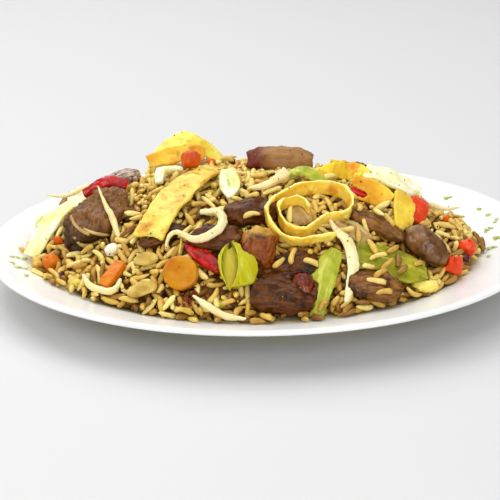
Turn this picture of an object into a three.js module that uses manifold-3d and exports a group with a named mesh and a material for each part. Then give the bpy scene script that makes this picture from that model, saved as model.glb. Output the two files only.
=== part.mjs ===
// Nasi goreng on its dinner plate: a heap of fried rice with strips of omelette, pieces of meat,
// leek, onion, bean sprouts, carrot, red pepper and mushroom. Millimetres, +Z up.
// The origin is the middle of the foot ring's underside, and -Y is the front.
import * as THREE from "three";
import { mergeVertices } from "three/addons/utils/BufferGeometryUtils.js";
import { ImprovedNoise } from "three/addons/math/ImprovedNoise.js";
import Module from "manifold-3d";

const wasm = await Module();
wasm.setup();

// Driving dimensions.
const PLATE = {
  radius: 135, // a 270 mm dinner plate
  rimHeight: 22,
  rimWidth: 16.6,
  rimDrop: 4.4, // how far the rim slopes down to the well
  floorRadius: 84,
  floorHeight: 8,
  floorCurve: 12, // the floor turns up into the well over this width
  floorCurveRise: 2.2,
  thickness: 3.4,
  lip: 1.1, // depth and width of the rounded rim edge
  footOuter: 77.5,
  footInner: 72,
  footHeight: 3.2,
  footFlare: 2, // the foot ring widens by this on each side where it meets the floor
  segments: 48,
};
const HEAP = {
  x: -5, // the heap lies a little left of the plate's middle
  halfLength: 109,
  halfWidth: 88,
  height: 45, // above the plate's floor
  edge: 2.5, // one grain thick where it ends
  sideFullness: 3.0, // left and right ends drop off steeply
  frontFullness: 2.3, // front and back slope more evenly
  falloff: 1.05,
  swell: 3.2, // broad unevenness
  swellSize: 27,
  ripple: 3.4, // unevenness the size of a few grains
  rippleSize: 10,
  sway: 0.07, // how far the outline wanders in and out, as a share of its reach
  swayTurns: 2.6,
  rings: 11,
  segments: 48,
};
const GRAIN = { length: 9.8, width: 3.1, count: 48, tilt: 24, attempts: 5 };
const GAP = 0.3; // clearance between pieces that touch
const CORNER = 0.55; // how far a neighbour's corners move out so that its faces clear by GAP
const SMOOTHING = 0.18; // slivers thinner than this are smoothed away
const ALMOST = 0.9999; // keeps a share just under 1

const X = new THREE.Vector3(1, 0, 0);
const degrees = THREE.MathUtils.degToRad;
const noise = new ImprovedNoise();
THREE.MathUtils.seededRandom(7);
const random = () => THREE.MathUtils.seededRandom();
const between = (low, high) => low + (high - low) * random();

// Colours and finishes.
const finish = (color, roughness) => new THREE.MeshStandardMaterial({ color, roughness, metalness: 0 });
const glaze = finish(0xf4f5f4, 0.15);
const friedRice = finish(0xc9ad6a, 0.5);
const omelette = finish(0xe8c14c, 0.45);
const meat = finish(0x6e4a33, 0.5);
const darkMeat = finish(0x3d281d, 0.45);
const mushroom = finish(0x7b5e42, 0.45);
const paleMushroom = finish(0xcdb77c, 0.5);
const leek = finish(0x9fae3c, 0.4);
const onion = finish(0xe6e0c4, 0.3);
const sprout = finish(0xeee6c8, 0.35);
const carrot = finish(0xe8941f, 0.4);
const redPepper = finish(0xc4241c, 0.25);

// A closed geometry as a solid that can be cut and joined.
function solidOf(geometry) {
  const bare = new THREE.BufferGeometry();
  bare.setAttribute("position", geometry.getAttribute("position"));
  bare.setIndex(geometry.index);
  const merged = mergeVertices(bare, 1e-4);
  return new wasm.Manifold(
    new wasm.Mesh({
      numProp: 3,
      vertProperties: merged.attributes.position.array,
      triVerts: new Uint32Array(merged.index.array),
    }),
  );
}

function geometryOf(solid) {
  const mesh = solid.getMesh();
  const geometry = new THREE.BufferGeometry();
  geometry.setAttribute("position", new THREE.BufferAttribute(mesh.vertProperties, 3));
  geometry.setIndex(new THREE.BufferAttribute(mesh.triVerts, 1));
  const faceted = geometry.toNonIndexed();
  faceted.computeVertexNormals();
  return faceted;
}

// The largest body of a solid: scraps and sealed hollows are dropped.
function whole(solid) {
  const bodies = solid.decompose();
  return bodies.reduce((best, body) => (body.volume() > best.volume() ? body : best));
}

// The same solid a little fatter, to cut a neighbour with clearance.
function grown(solid, by = CORNER) {
  const mesh = solid.getMesh();
  const geometry = new THREE.BufferGeometry();
  const positions = mesh.vertProperties.slice();
  geometry.setAttribute("position", new THREE.BufferAttribute(positions, 3));
  geometry.setIndex(new THREE.BufferAttribute(mesh.triVerts, 1));
  geometry.computeVertexNormals();
  const normals = geometry.attributes.normal.array;
  normals.forEach((n, i) => (positions[i] += n * by));
  return solidOf(geometry);
}

function boxesMeet(a, b) {
  const p = a.boundingBox();
  const q = b.boundingBox();
  return [0, 1, 2].every((i) => p.min[i] <= q.max[i] && q.min[i] <= p.max[i]);
}

// Height of the plate's upper surface at a distance from its middle.
const CURVE_END = PLATE.floorRadius + PLATE.floorCurve;
const SHOULDER = PLATE.radius - PLATE.rimWidth;
const PLATE_SLOPE = [
  [PLATE.floorRadius, PLATE.floorHeight],
  [CURVE_END, PLATE.floorHeight + PLATE.floorCurveRise],
  [SHOULDER, PLATE.rimHeight - PLATE.rimDrop],
  [PLATE.radius - PLATE.lip, PLATE.rimHeight],
];
function plateTop(radius) {
  let [r0, z0] = [0, PLATE.floorHeight];
  for (const [r1, z1] of PLATE_SLOPE) {
    if (radius <= r1) return z0 + ((z1 - z0) * Math.max(0, radius - r0)) / (r1 - r0);
    [r0, z0] = [r1, z1];
  }
  return z0;
}

// The plate: one turned profile from the foot ring's underside round the rim to the floor.
function plateGeometry() {
  const under = (radius) => plateTop(radius) - PLATE.thickness;
  const profile = [
    [0, PLATE.footHeight],
    [PLATE.footInner - PLATE.footFlare, PLATE.footHeight],
    [PLATE.footInner, 0],
    [PLATE.footOuter, 0],
    [PLATE.footOuter + PLATE.footFlare, PLATE.footHeight],
    [CURVE_END, under(CURVE_END)],
    [SHOULDER, under(SHOULDER)],
    [PLATE.radius - PLATE.lip, PLATE.rimHeight - 2 * PLATE.lip],
    [PLATE.radius, PLATE.rimHeight - PLATE.lip],
    ...PLATE_SLOPE.toReversed(),
    [0, PLATE.floorHeight],
  ];
  const points = profile.map(([r, z]) => new THREE.Vector2(r, z));
  return new THREE.LatheGeometry(points, PLATE.segments).rotateX(Math.PI / 2);
}

// The heap's outline is an oval that wanders in and out.
function outlineSway(angle) {
  const [x, y] = [HEAP.swayTurns * Math.cos(angle), HEAP.swayTurns * Math.sin(angle)];
  return 1 + HEAP.sway * noise.noise(x, y, 5.2);
}

// How far a place is from the heap's middle, 1 on its outline.
function heapReach(x, y) {
  const [u, v] = [(x - HEAP.x) / HEAP.halfLength, y / HEAP.halfWidth];
  return Math.hypot(u, v) / outlineSway(Math.atan2(v, u));
}

function heapSmooth(x, y) {
  const reach = Math.min(1, heapReach(x, y));
  const sideways = Math.atan2(y / HEAP.halfWidth, (x - HEAP.x) / HEAP.halfLength);
  const turn = Math.sin(sideways) ** 2;
  const fullness = THREE.MathUtils.lerp(HEAP.sideFullness, HEAP.frontFullness, turn);
  const dome = (1 - reach ** fullness) ** HEAP.falloff;
  const inside = heapReach(x, y) < 1 ? GAP + HEAP.edge : 0;
  return plateTop(Math.hypot(x, y)) + inside + (HEAP.height - HEAP.edge) * dome;
}

function heapTop(x, y) {
  const calm = 1 - Math.min(1, heapReach(x, y)) ** 6; // no unevenness at the outline
  const swell = HEAP.swell * noise.noise(x / HEAP.swellSize, y / HEAP.swellSize, 3.1);
  const ripple = HEAP.ripple * noise.noise(x / HEAP.rippleSize, y / HEAP.rippleSize, 7.7);
  return heapSmooth(x, y) + calm * (swell + ripple);
}

function heapNormal(x, y) {
  const step = 3;
  const slopeX = heapSmooth(x + step, y) - heapSmooth(x - step, y);
  const slopeY = heapSmooth(x, y + step) - heapSmooth(x, y - step);
  return new THREE.Vector3(-slopeX, -slopeY, 2 * step).normalize();
}

// The bare heap: rings from the middle out, closed below along the plate's surface.
function heapGeometry() {
  const positions = [];
  const faces = [];
  const addRing = (share, height) => {
    for (let i = 0; i < HEAP.segments; i++) {
      const angle = (2 * Math.PI * i) / HEAP.segments;
      const reach = share * outlineSway(angle);
      const x = HEAP.x + HEAP.halfLength * reach * Math.cos(angle);
      const y = HEAP.halfWidth * reach * Math.sin(angle);
      positions.push(x, y, height(x, y));
    }
  };
  const bottom = (x, y) => plateTop(Math.hypot(x, y)) + GAP;
  for (let ring = 1; ring <= HEAP.rings; ring++) addRing((ring / HEAP.rings) ** 0.8 * ALMOST, heapTop);
  const underside = [1, 0.86, 0.72, 0.45];
  for (const share of underside) addRing(share * ALMOST, bottom);
  const rings = HEAP.rings + underside.length;
  for (let ring = 0; ring + 1 < rings; ring++)
    for (let i = 0; i < HEAP.segments; i++) {
      const next = (i + 1) % HEAP.segments;
      const [a, b] = [ring * HEAP.segments + i, ring * HEAP.segments + next];
      const [c, d] = [a + HEAP.segments, b + HEAP.segments];
      faces.push(a, c, b, b, c, d);
    }
  const top = positions.length / 3;
  positions.push(HEAP.x, 0, heapTop(HEAP.x, 0), HEAP.x, 0, bottom(HEAP.x, 0));
  const lastRing = (rings - 1) * HEAP.segments;
  for (let i = 0; i < HEAP.segments; i++) {
    const next = (i + 1) % HEAP.segments;
    faces.push(top, i, next, top + 1, lastRing + next, lastRing + i);
  }
  const geometry = new THREE.BufferGeometry();
  geometry.setAttribute("position", new THREE.Float32BufferAttribute(positions, 3));
  geometry.setIndex(faces);
  return geometry;
}

// Moves each point of a shape.
function reshaped(geometry, move) {
  const position = geometry.getAttribute("position");
  const point = new THREE.Vector3();
  for (let i = 0; i < position.count; i++) {
    point.fromBufferAttribute(position, i);
    move(point);
    position.setXYZ(i, point.x, point.y, point.z);
  }
  return geometry;
}

// The direction nearest to one given that is square to another.
const squareTo = (direction, axis) =>
  direction.clone().addScaledVector(axis, -direction.dot(axis)).normalize();

// A path over the heap. Its points are [x, y, height above the rice], and its lean is the angle
// between lying flat (0) and standing on edge (90), one for the whole path or one for each point.
// widthAlong fixes the direction of the width instead, for a strip that arches over.
function pathOver({ points, lean = 0, widthAlong }) {
  const curve = new THREE.CatmullRomCurve3(
    points.map(([x, y, lift]) => new THREE.Vector3(x, y, heapTop(x, y) + lift)),
    false,
    "centripetal",
  );
  const leans = Array.isArray(lean) ? lean : points.map(() => lean);
  return (t) => {
    const centre = curve.getPoint(t);
    const along = curve.getTangent(t);
    const place = Math.min(t, ALMOST) * (points.length - 1);
    const before = Math.floor(place);
    const angle = degrees(THREE.MathUtils.lerp(leans[before], leans[before + 1], place - before));
    const normal = heapNormal(centre.x, centre.y);
    let across = new THREE.Vector3().crossVectors(normal, along).normalize();
    across.applyAxisAngle(along, angle);
    if (widthAlong) across = squareTo(widthAlong, along);
    const up = new THREE.Vector3().crossVectors(along, across);
    return { centre, across, up };
  };
}

// A strip cut from something flat: omelette, leaf, onion or pepper. Cup curls its long edges down,
// taper narrows its start and end, and ruffle makes it wavy.
function strip({ width, thick, steps = 12, lanes = 2, ...form }) {
  const { cup = 0, taper = [0.8, 0.8], ruffle = 0, seed = 0, ...path } = form;
  const frame = pathOver(path);
  return reshaped(new THREE.BoxGeometry(1, 1, 1, steps, lanes, 1), (point) => {
    const t = point.x + 0.5;
    const { centre, across, up } = frame(t);
    const end = t < 0.5 ? taper[0] : taper[1];
    const narrow = THREE.MathUtils.lerp(1, end, Math.abs(2 * t - 1) ** 2.5);
    const sway = 1 + 0.16 * noise.noise(t * 5.3, point.y, seed + 0.5);
    const wave = ruffle * noise.noise(t * 6.1, point.y * 1.7, seed + 9.5);
    const side = point.y * width * narrow * sway;
    const rise = point.z * thick + wave - cup * width * (point.y * 2 * narrow) ** 2;
    point.copy(centre).addScaledVector(across, side).addScaledVector(up, rise);
  });
}

// A round shoot: radii are spread evenly from its start to its end.
function shoot({ radii, steps = 9, sides = 5, flat = 1, ...path }) {
  const frame = pathOver(path);
  const rod = new THREE.CylinderGeometry(1, 1, 1, sides, steps).rotateZ(-Math.PI / 2);
  return reshaped(rod, (point) => {
    const t = THREE.MathUtils.clamp(point.x + 0.5, 0, 1);
    const { centre, across, up } = frame(t);
    const place = Math.min(t, ALMOST) * (radii.length - 1);
    const before = Math.floor(place);
    const radius = THREE.MathUtils.lerp(radii[before], radii[before + 1], place - before);
    point.set(point.y * radius, point.z * radius * flat, 0);
    const [side, rise] = [point.x, point.y];
    point.copy(centre).addScaledVector(across, side).addScaledVector(up, rise);
  });
}

// Sets a shape that was made round its own middle down on the heap, square to the slope.
function setDown(geometry, { x, y, lift = 0, turn = 0, tip = 0, roll = 0 }) {
  const normal = heapNormal(x, y);
  const right = squareTo(X, normal);
  const back = new THREE.Vector3().crossVectors(normal, right);
  const own = new THREE.Matrix4()
    .makeRotationZ(degrees(turn))
    .multiply(new THREE.Matrix4().makeRotationY(degrees(tip)))
    .multiply(new THREE.Matrix4().makeRotationX(degrees(roll)));
  geometry.applyMatrix4(own).applyMatrix4(new THREE.Matrix4().makeBasis(right, back, normal));
  const middle = new THREE.Vector3(x, y, heapTop(x, y)).addScaledVector(normal, lift);
  return geometry.translate(middle.x, middle.y, middle.z);
}

// A hand-cut or torn lump. Square 0 is round and 1 is nearly a block.
function lump({ size, square = 0.4, rough = 0.16, seed = 0, detail = 1, ...place }) {
  const power = 2 + 6 * square;
  const shape = reshaped(new THREE.IcosahedronGeometry(1, detail), (point) => {
    const sum = Math.abs(point.x) ** power + Math.abs(point.y) ** power + Math.abs(point.z) ** power;
    const dent = 1 + rough * 2 * noise.noise(point.x * 1.6 + seed, point.y * 1.6, point.z * 1.6);
    point.multiplyScalar((dent / sum ** (1 / power)) * 0.5);
    point.set(point.x * size[0], point.y * size[1], point.z * size[2]);
  });
  return setDown(shape, place);
}

// A round slice with worn edges.
function slice({ radius, thick, sides = 8, oval = 1, ...place }) {
  const profile = [
    [0, -0.5],
    [0.86, -0.5],
    [1, -0.2],
    [1, 0.25],
    [0.84, 0.5],
    [0, 0.56],
  ].map(([r, z]) => new THREE.Vector2(r * radius, z * thick));
  const shape = new THREE.LatheGeometry(profile, sides).rotateX(Math.PI / 2).scale(1, oval, 1);
  return setDown(shape, place);
}

// Every topping rests on the bare heap and on the toppings laid before it.
const dish = new THREE.Group();
const plate = solidOf(plateGeometry());
const heap = solidOf(heapGeometry());
const plateClearance = grown(plate);
const heapClearance = grown(heap);
const laid = [];

function node(name, solid, material) {
  const mesh = new THREE.Mesh(geometryOf(solid), material);
  mesh.name = name;
  dish.add(mesh);
}

function lay(name, material, geometry) {
  let piece = solidOf(geometry).subtract(heapClearance).subtract(plateClearance);
  for (const under of laid) if (boxesMeet(piece, under)) piece = piece.subtract(under);
  piece = whole(whole(piece).simplify(SMOOTHING));
  laid.push(grown(piece));
  node(name, piece, material);
}

const layLump = (name, material, form) => lay(name, material, lump(form));
const laySlice = (name, material, form) => lay(name, material, slice(form));
const layStrip = (name, material, form) => lay(name, material, strip(form));
const layShoot = (name, form) => lay(name, sprout, shoot(form));

// Meat, the lowest layer: flat and chunky cuts of browned meat, some nearly black with sauce.
function layMeat() {
  layLump("meat_left", meat, { size: [34, 28, 15], seed: 2, square: 0.5, x: -78, y: -20, lift: 3, turn: 15 });
  layLump("meat_back_left", meat, { size: [26, 17, 10], seed: 3, x: -71, y: 17, lift: 3, turn: -8 });
  const topCut = { size: [32, 20, 15], seed: 5, square: 0.7, rough: 0.1 };
  layLump("meat_top", meat, { ...topCut, x: 8.5, y: 15, lift: 2.8, turn: -4 });
  layLump("meat_middle", darkMeat, { size: [24, 14, 10], seed: 7, x: -5, y: -42, lift: 2, turn: 10 });
  const flat = { size: [23, 15, 9], seed: 11 };
  layLump("meat_under_sprout", darkMeat, { ...flat, x: -21, y: -57, lift: 1.4, turn: -12 });
  const cube = { size: [16, 20, 13], seed: 13, square: 0.6 };
  layLump("meat_centre", meat, { ...cube, x: -3, y: -62, lift: 3.6, turn: -10 });
  layLump("meat_under_strip", meat, { size: [22, 8, 6], seed: 17, x: -47, y: -50, lift: 0.8, turn: 22 });
  layLump("meat_front_upper", darkMeat, { size: [32, 12, 10], seed: 19, x: 10, y: -66, lift: 2.2, turn: 4 });
  layLump("meat_front_red", meat, { size: [11, 13, 10], seed: 23, x: 16, y: -75, lift: 2.5, turn: 15 });
  const chunk = { seed: 29, square: 0.5 };
  const beef = { ...chunk, size: [29, 19, 12] };
  layLump("meat_front_lower", darkMeat, { ...beef, x: 7.5, y: -77.5, lift: 2, turn: -6 });
  layLump("meat_front_right", meat, { ...chunk, size: [23, 15, 9], x: 49, y: -71, lift: 1, turn: -10 });
  layLump("meat_strip_right", darkMeat, { size: [28, 10, 7], seed: 37, x: 53, y: -38, lift: 1.8, turn: -24 });
  layLump("meat_back", meat, { ...chunk, size: [26, 20, 13], x: -24, y: 58, lift: 1.5, turn: 25 });
  layLump("meat_back_right", darkMeat, { size: [25, 14, 11], seed: 43, x: 45, y: 48, lift: 3, turn: -30 });
}

// Mushroom: one whole cap, and two thin pale slices.
function layMushroom() {
  const cap = { size: [27, 16, 14], seed: 47, square: 0, rough: 0.1 };
  layLump("mushroom_right", mushroom, { ...cap, x: 74, y: -42, lift: 4, turn: -36 });
  const upper = { radius: 7, thick: 2.4, oval: 0.6 };
  const lower = { radius: 8, thick: 2.2, oval: 0.55 };
  laySlice("mushroom_slice_upper", paleMushroom, { ...upper, x: -54, y: -59, lift: 2.2, turn: -12 });
  laySlice("mushroom_slice_lower", paleMushroom, { ...lower, x: -56, y: -73, lift: 2.2, turn: 8 });
}

// Carrot: a round slice, a baton and dice.
function layCarrot() {
  const baton = { width: 6.5, thick: 5, steps: 5 };
  const dice = { seed: 53, square: 0.9, rough: 0.08 };
  laySlice("carrot_slice", carrot, { radius: 8.4, thick: 5.4, x: -38, y: -70, lift: 4, turn: 10, roll: 8 });
  layStrip("carrot_baton", carrot, {
    ...baton,
    points: [[-66, -57.5, 2.2], [-70, -62.5, 2.9], [-74, -67, 2.2]],
  });
  layLump("carrot_dice_top", carrot, { ...dice, size: [9, 8, 8], x: -34.5, y: 6, lift: 5, turn: 20 });
  layLump("carrot_dice_left", carrot, { ...dice, size: [8, 7, 8], x: -100, y: -32, lift: 3, turn: 35 });
  layLump("carrot_dice_back", carrot, { ...dice, size: [11, 9, 8], x: 18, y: 62, lift: 3, turn: 35 });
}

// Pepper: curved strips and squares of red pepper.
function layPepper() {
  const common = { thick: 2.6, cup: 0.1, seed: 4, steps: 6 };
  layStrip("pepper_back_left", redPepper, {
    ...common,
    width: 6,
    lean: 45,
    points: [[-88, 3, 11], [-81, 2, 10.4], [-74, 0.5, 8.6], [-66, -1, 5.6]],
  });
  layStrip("pepper_front", redPepper, {
    ...common,
    width: 7.5,
    taper: [0.4, 0.6],
    points: [[-36, -58, 2.5], [-29, -66, 3], [-20, -71, 2]],
  });
  layStrip("pepper_centre_right", redPepper, {
    ...common,
    width: 5,
    points: [[41, -21, 2.5], [49, -21, 3.2], [57, -22, 2.5]],
  });
  layStrip("pepper_right", redPepper, {
    ...common,
    width: 9.5,
    points: [[78, -4, 3.5], [76, -14, 4.2], [73, -25, 2.5]],
  });
  const dice = { size: [8, 7.5, 9], seed: 67, square: 0.8 };
  const nugget = { size: [11, 9, 9], seed: 71, square: 0.5, rough: 0.25 };
  layLump("pepper_dice_right", redPepper, { ...dice, x: 96, y: -24, lift: 3, turn: 10 });
  layLump("pepper_dice_front", redPepper, { ...nugget, x: 86, y: -43, lift: 2.5, turn: 10 });
  layStrip("pepper_back", redPepper, {
    ...common,
    width: 7,
    points: [[-58, 42, 2.5], [-50, 50, 3.5], [-40, 53, 2.5]],
  });
}

// Leek and spring onion: bent slices, a folded cup and a broad ribbed leaf.
function layLeek() {
  const common = { thick: 1.8, steps: 7, ruffle: 0.6 };
  layStrip("leek_leaf_right", leek, {
    ...common,
    width: 18,
    cup: 0.05,
    taper: [0.75, 0.35],
    points: [[42, -62, 3.4], [51, -61, 4.2], [60, -60, 4.4], [68, -59, 3.8], [75, -57, 2.4]],
  });
  layStrip("leek_front", leek, {
    ...common,
    width: 12,
    cup: 0.12,
    taper: [0.5, 0.8],
    points: [[33, -62, 3], [28, -71, 4], [24, -78, 4], [21, -84, 2.6]],
  });
  layStrip("leek_top", leek, {
    ...common,
    width: 10,
    cup: 0.14,
    taper: [0.7, 0.4],
    points: [[12, -13, 2.6], [18, -14, 4], [25, -16, 4], [31, -20, 2.4]],
  });
  layStrip("leek_cup_front", leek, {
    ...common,
    thick: 2.4,
    width: 17,
    cup: -0.16,
    ruffle: 0,
    taper: [0.7, 0.05],
    points: [[-11.4, -79.5, 5.6], [-12.2, -75.5, 7.4], [-13.8, -70.5, 8], [-15.6, -64.5, 7.4]],
  });
  layStrip("leek_slice_top", leek, {
    ...common,
    width: 10,
    cup: -0.14,
    taper: [0.12, 0.5],
    points: [[-16, -32, 2.2], [-16, -22, 5.5], [-17, -14, 8.5]],
  });
  const petal = { radius: 5.6, thick: 2.2, oval: 0.9 };
  laySlice("leek_ring_left", leek, { ...petal, x: -107, y: 15, lift: 4.4, roll: 50 });
  layStrip("leek_back", leek, {
    ...common,
    width: 14,
    cup: 0.1,
    taper: [0.8, 0.5],
    points: [[2, 44, 3.5], [12, 47, 4.5], [23, 47, 3]],
  });
}

// Onion: clear, limp pieces and one long strip at the left end.
function layOnion() {
  const common = { thick: 1.8, cup: 0.06, ruffle: 0.6, steps: 6 };
  layStrip("onion_strip_left", onion, {
    ...common,
    width: 10.5,
    steps: 8,
    lean: 22,
    points: [[-113, -20, 3.5], [-107, -14, 6], [-101, -6, 7.5], [-94, 4, 8], [-87, 13, 7.5]],
  });
  layStrip("onion_back_left", onion, {
    ...common,
    thick: 2.4,
    width: 5,
    points: [[-50, -8, 3], [-50, -1, 4.5], [-45, 4, 5], [-39, 5, 3.5]],
  });
  layStrip("onion_in_ring", onion, {
    ...common,
    width: 11,
    points: [[13, -35, 2.2], [16.5, -42, 2.6], [19, -48, 2.2]],
  });
  layStrip("onion_right", onion, {
    ...common,
    width: 10,
    taper: [0.7, 0.9],
    points: [[34, -43, 2.4], [41, -48, 3.4], [48, -53, 2.4]],
  });
}

// Omelette: broad strips cut from a thin omelette, some rolled up, some folded.
function layOmelette() {
  const common = { thick: 1.9, seed: 2, ruffle: 1 };
  layStrip("omelette_strip", omelette, {
    ...common,
    width: 15.5,
    steps: 12,
    taper: [1.15, 0.6],
    points: [[-54, -53, 4.6], [-48, -42, 5.4], [-41, -30, 5.4], [-34, -16, 5], [-28, -4, 4.8], [-22, 8, 3.8]],
  });
  layStrip("omelette_ring", omelette, {
    ...common,
    width: 7.6,
    thick: 1.7,
    lanes: 1,
    steps: 29,
    ruffle: 0.5,
    lean: 90,
    points: [
      [32, -60, 7.5], [22, -64, 9], [12, -63, 9.5], [4, -58, 9], [1, -49, 7.5], [5, -39, 6.4], [17, -31, 6],
      [31, -26, 6], [39, -29, 6], [41.5, -37, 6.2], [38, -44, 6.6], [33, -47, 6.8], [27, -51, 7],
      [20, -56.5, 7.4], [12.5, -57, 7.4], [7.5, -51.5, 7], [7.3, -45, 6.6], [11.5, -40, 6.4],
      [17.5, -39.5, 6.2], [21, -45, 6],
    ],
  });
  layStrip("omelette_band_left", omelette, {
    ...common,
    width: 9,
    steps: 8,
    lean: [70, 60, 55, 60],
    points: [[-57, 19, 9], [-48, 20, 10], [-38, 20, 9.6], [-28, 20, 8]],
  });
  layStrip("omelette_loop_left", omelette, {
    ...common,
    width: 12,
    steps: 14,
    widthAlong: new THREE.Vector3(0, 1, 0.45),
    points: [
      [-58, 28, 2], [-53, 28, 10], [-46, 28, 14.5], [-38, 28, 15], [-31, 28, 12], [-25, 28, 6.5],
      [-19, 27, -1],
    ],
  });
  layStrip("omelette_fold_back", omelette, {
    ...common,
    width: 9,
    steps: 12,
    ruffle: 2,
    lean: [50, 60, 75, 60, 45, 60],
    points: [[27, -9, 2.6], [32, -4, 3.4], [37, 0, 4.2], [41, 4, 3.6], [46, 4, 5.4], [51, -1, 3.4]],
  });
  layStrip("omelette_band_right", omelette, {
    ...common,
    width: 11,
    steps: 8,
    lean: [75, 65, 60, 65],
    points: [[42, -20, 5.2], [48.5, -22, 5.8], [55, -25, 6], [60, -28, 5.8]],
  });
  layStrip("omelette_sheet_right", omelette, {
    ...common,
    width: 17,
    steps: 9,
    lean: [20, 10, 10, 20],
    ruffle: 2,
    points: [[50, 2, 6.5], [58, 0, 7.5], [68, -1, 7], [78, 0, 6]],
  });
  layStrip("omelette_flap_right", omelette, {
    ...common,
    width: 10.5,
    steps: 8,
    points: [[68, -11, 5.4], [67.6, -18, 6.4], [67, -25, 6.2], [66, -33, 5.4], [65, -40, 3.6]],
  });
  layStrip("omelette_back", omelette, {
    ...common,
    width: 13,
    steps: 9,
    points: [[38, 22, 3.5], [47, 30, 4.5], [54, 38, 4.2], [66, 40, 3.6]],
  });
}

// Bean sprouts: pale juicy stems, thin at the root end, with a rounded head where it is left on.
function laySprouts() {
  layShoot("sprout_curl", {
    steps: 20,
    radii: [1.4, 2.1, 2.4, 2.5, 2.5, 2.4, 2.2, 1.8, 1.5, 1.3, 0.8],
    points: [
      [-30, -42.5, 4], [-25, -42, 4.8], [-21, -45.5, 5.6], [-19, -52, 6.8], [-20, -58.5, 7.8],
      [-23.6, -62.5, 8.2], [-28.2, -63.5, 8], [-33, -61.5, 7.5], [-37, -58, 6.5], [-41, -55.5, 5.6],
      [-44.2, -56, 5], [-45.4, -60.5, 4],
    ],
  });
  layShoot("sprout_right", {
    steps: 11,
    radii: [0.9, 2.3, 3.1, 3.3, 3.3, 3.1, 2.6, 1.4],
    flat: 0.6,
    points: [
      [30, -50.5, 8], [34, -54.5, 6], [37.5, -59, 5.4], [39.4, -64, 5.2], [40, -69.5, 5], [38.4, -75.5, 4],
      [36, -81.5, 2.8],
    ],
  });
  layShoot("sprout_head_top", {
    radii: [2.6, 4.6, 3.4, 2.4, 2.3, 2.2, 1.6, 0.8],
    points: [[11, -17, 4.6], [8, -21, 4], [1, -25, 3.4], [-7, -28, 2.8]],
  });
  layShoot("sprout_front", {
    radii: [0.8, 1.7, 2, 2, 1.6, 0.8],
    points: [[-33, -80, 3], [-26, -85, 3.4], [-18, -88.5, 3.2], [-9, -91, 2.6]],
  });
  layShoot("sprout_lower_left", {
    radii: [1, 1.9, 2, 1.9, 1],
    points: [[-84, -57, 3], [-81, -64, 3], [-75, -69, 3], [-69, -71, 3], [-66, -67, 3.6]],
  });
  layShoot("sprout_tail_left", {
    radii: [0.6, 1, 1.7, 1.9, 1.2],
    points: [[-79, -18, 17], [-75, -29, 15], [-71, -38, 9.5], [-68, -44, 4]],
  });
  layShoot("sprout_point_left", {
    radii: [0.4, 1, 1.6, 1.9, 1.4],
    points: [[-109, 14, 20], [-99, 15, 12.5], [-89, 15, 11.5], [-82, 13, 11]],
  });
  layShoot("sprout_tail_right", {
    radii: [1.5, 1.5, 1.3, 0.9, 0.4],
    points: [[82, -3, 4], [87, 0, 5.5], [93, 3, 8], [99, 9, 12]],
  });
  layShoot("sprout_back", {
    radii: [0.8, 1.8, 2.2, 2.2, 1.4],
    points: [[-2, 66, 3], [6, 71, 3.6], [16, 73, 3.4], [26, 70, 3]],
  });
}

// Small bits that lie loose in the rice and belong to its heap.
function smallBits() {
  const bits = [
    lump({ size: [12, 9, 8], seed: 73, square: 0, x: -87, y: -54, lift: 2 }), // a lump of scrambled egg
    lump({ size: [18, 11, 8], seed: 79, rough: 0.3, x: 74, y: -61, lift: 1.6, turn: 20 }), // egg curd
    lump({ size: [6, 6, 5.5], seed: 83, square: 1, x: -25, y: 17, lift: 2.6 }), // small carrot dice
    lump({ size: [6, 4.5, 5], seed: 89, square: 0.8, x: 89, y: -11, lift: 2.4 }),
    lump({ size: [7, 5, 4.5], seed: 97, square: 0.8, x: -99, y: -21, lift: 2 }),
    lump({ size: [6, 6, 10], seed: 101, square: 0, x: -62, y: 19, lift: 5 }), // green leek bits
    lump({ size: [7, 8, 4], seed: 103, square: 0, x: -21, y: -81, lift: 1.8, turn: 30 }),
    lump({ size: [9, 4, 13], seed: 107, square: 0, x: -97, y: 18, lift: 4.5 }),
    lump({ size: [6, 7, 4.5], seed: 109, x: 96, y: -31, lift: 2 }),
    lump({ size: [11, 6, 5], seed: 113, square: 0.2, x: 60, y: 58, lift: 2, turn: 30 }),
    lump({ size: [9, 8, 6], seed: 127, square: 0.8, x: -78, y: 44, lift: 2.4, turn: 10 }),
  ];
  return bits.map(solidOf);
}

// A grain of cooked rice, fat in the middle with blunt ends.
function grainAt(x, y) {
  const size = between(0.88, 1.08);
  const shape = new THREE.IcosahedronGeometry(0.5, 0);
  shape.rotateZ(0.55).scale(GRAIN.length * size, GRAIN.width * size, GRAIN.width * size * 0.9);
  const tip = between(-GRAIN.tilt, GRAIN.tilt);
  const place = { x, y, lift: between(0.4, 1), turn: between(0, 180), tip };
  return solidOf(setDown(shape, place));
}

// The grains that show are spread evenly by the golden angle. One that would cross a topping or
// the plate is moved a little, and left out if that doesn't help.
function riceWithGrains() {
  const golden = Math.PI * (3 - Math.sqrt(5));
  const meets = (piece, other) => boxesMeet(piece, other) && piece.intersect(other).volume() > 0;
  const clear = (piece) => ![...laid, plateClearance].some((other) => meets(piece, other));
  const kept = smallBits().filter(clear);
  for (let i = 0; i < GRAIN.count; i++) {
    const reach = Math.sqrt((i + 0.5) / GRAIN.count) * 0.96;
    for (let attempt = 0; attempt < GRAIN.attempts; attempt++) {
      const angle = i * golden + between(-0.04, 0.04) * (attempt + 1);
      const spread = reach * outlineSway(angle);
      const x = HEAP.x + HEAP.halfLength * spread * Math.cos(angle);
      const y = HEAP.halfWidth * spread * Math.sin(angle);
      const grain = grainAt(x, y);
      if (!clear(grain)) continue;
      kept.push(grain);
      break;
    }
  }
  const rice = kept.reduce((sum, piece) => sum.add(piece), heap);
  return whole(whole(rice).simplify(SMOOTHING));
}

layMeat();
layMushroom();
layCarrot();
layPepper();
layLeek();
layOnion();
layOmelette();
laySprouts();
node("rice", riceWithGrains(), friedRice);
node("plate", plate, glaze);

export default dish;
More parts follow.
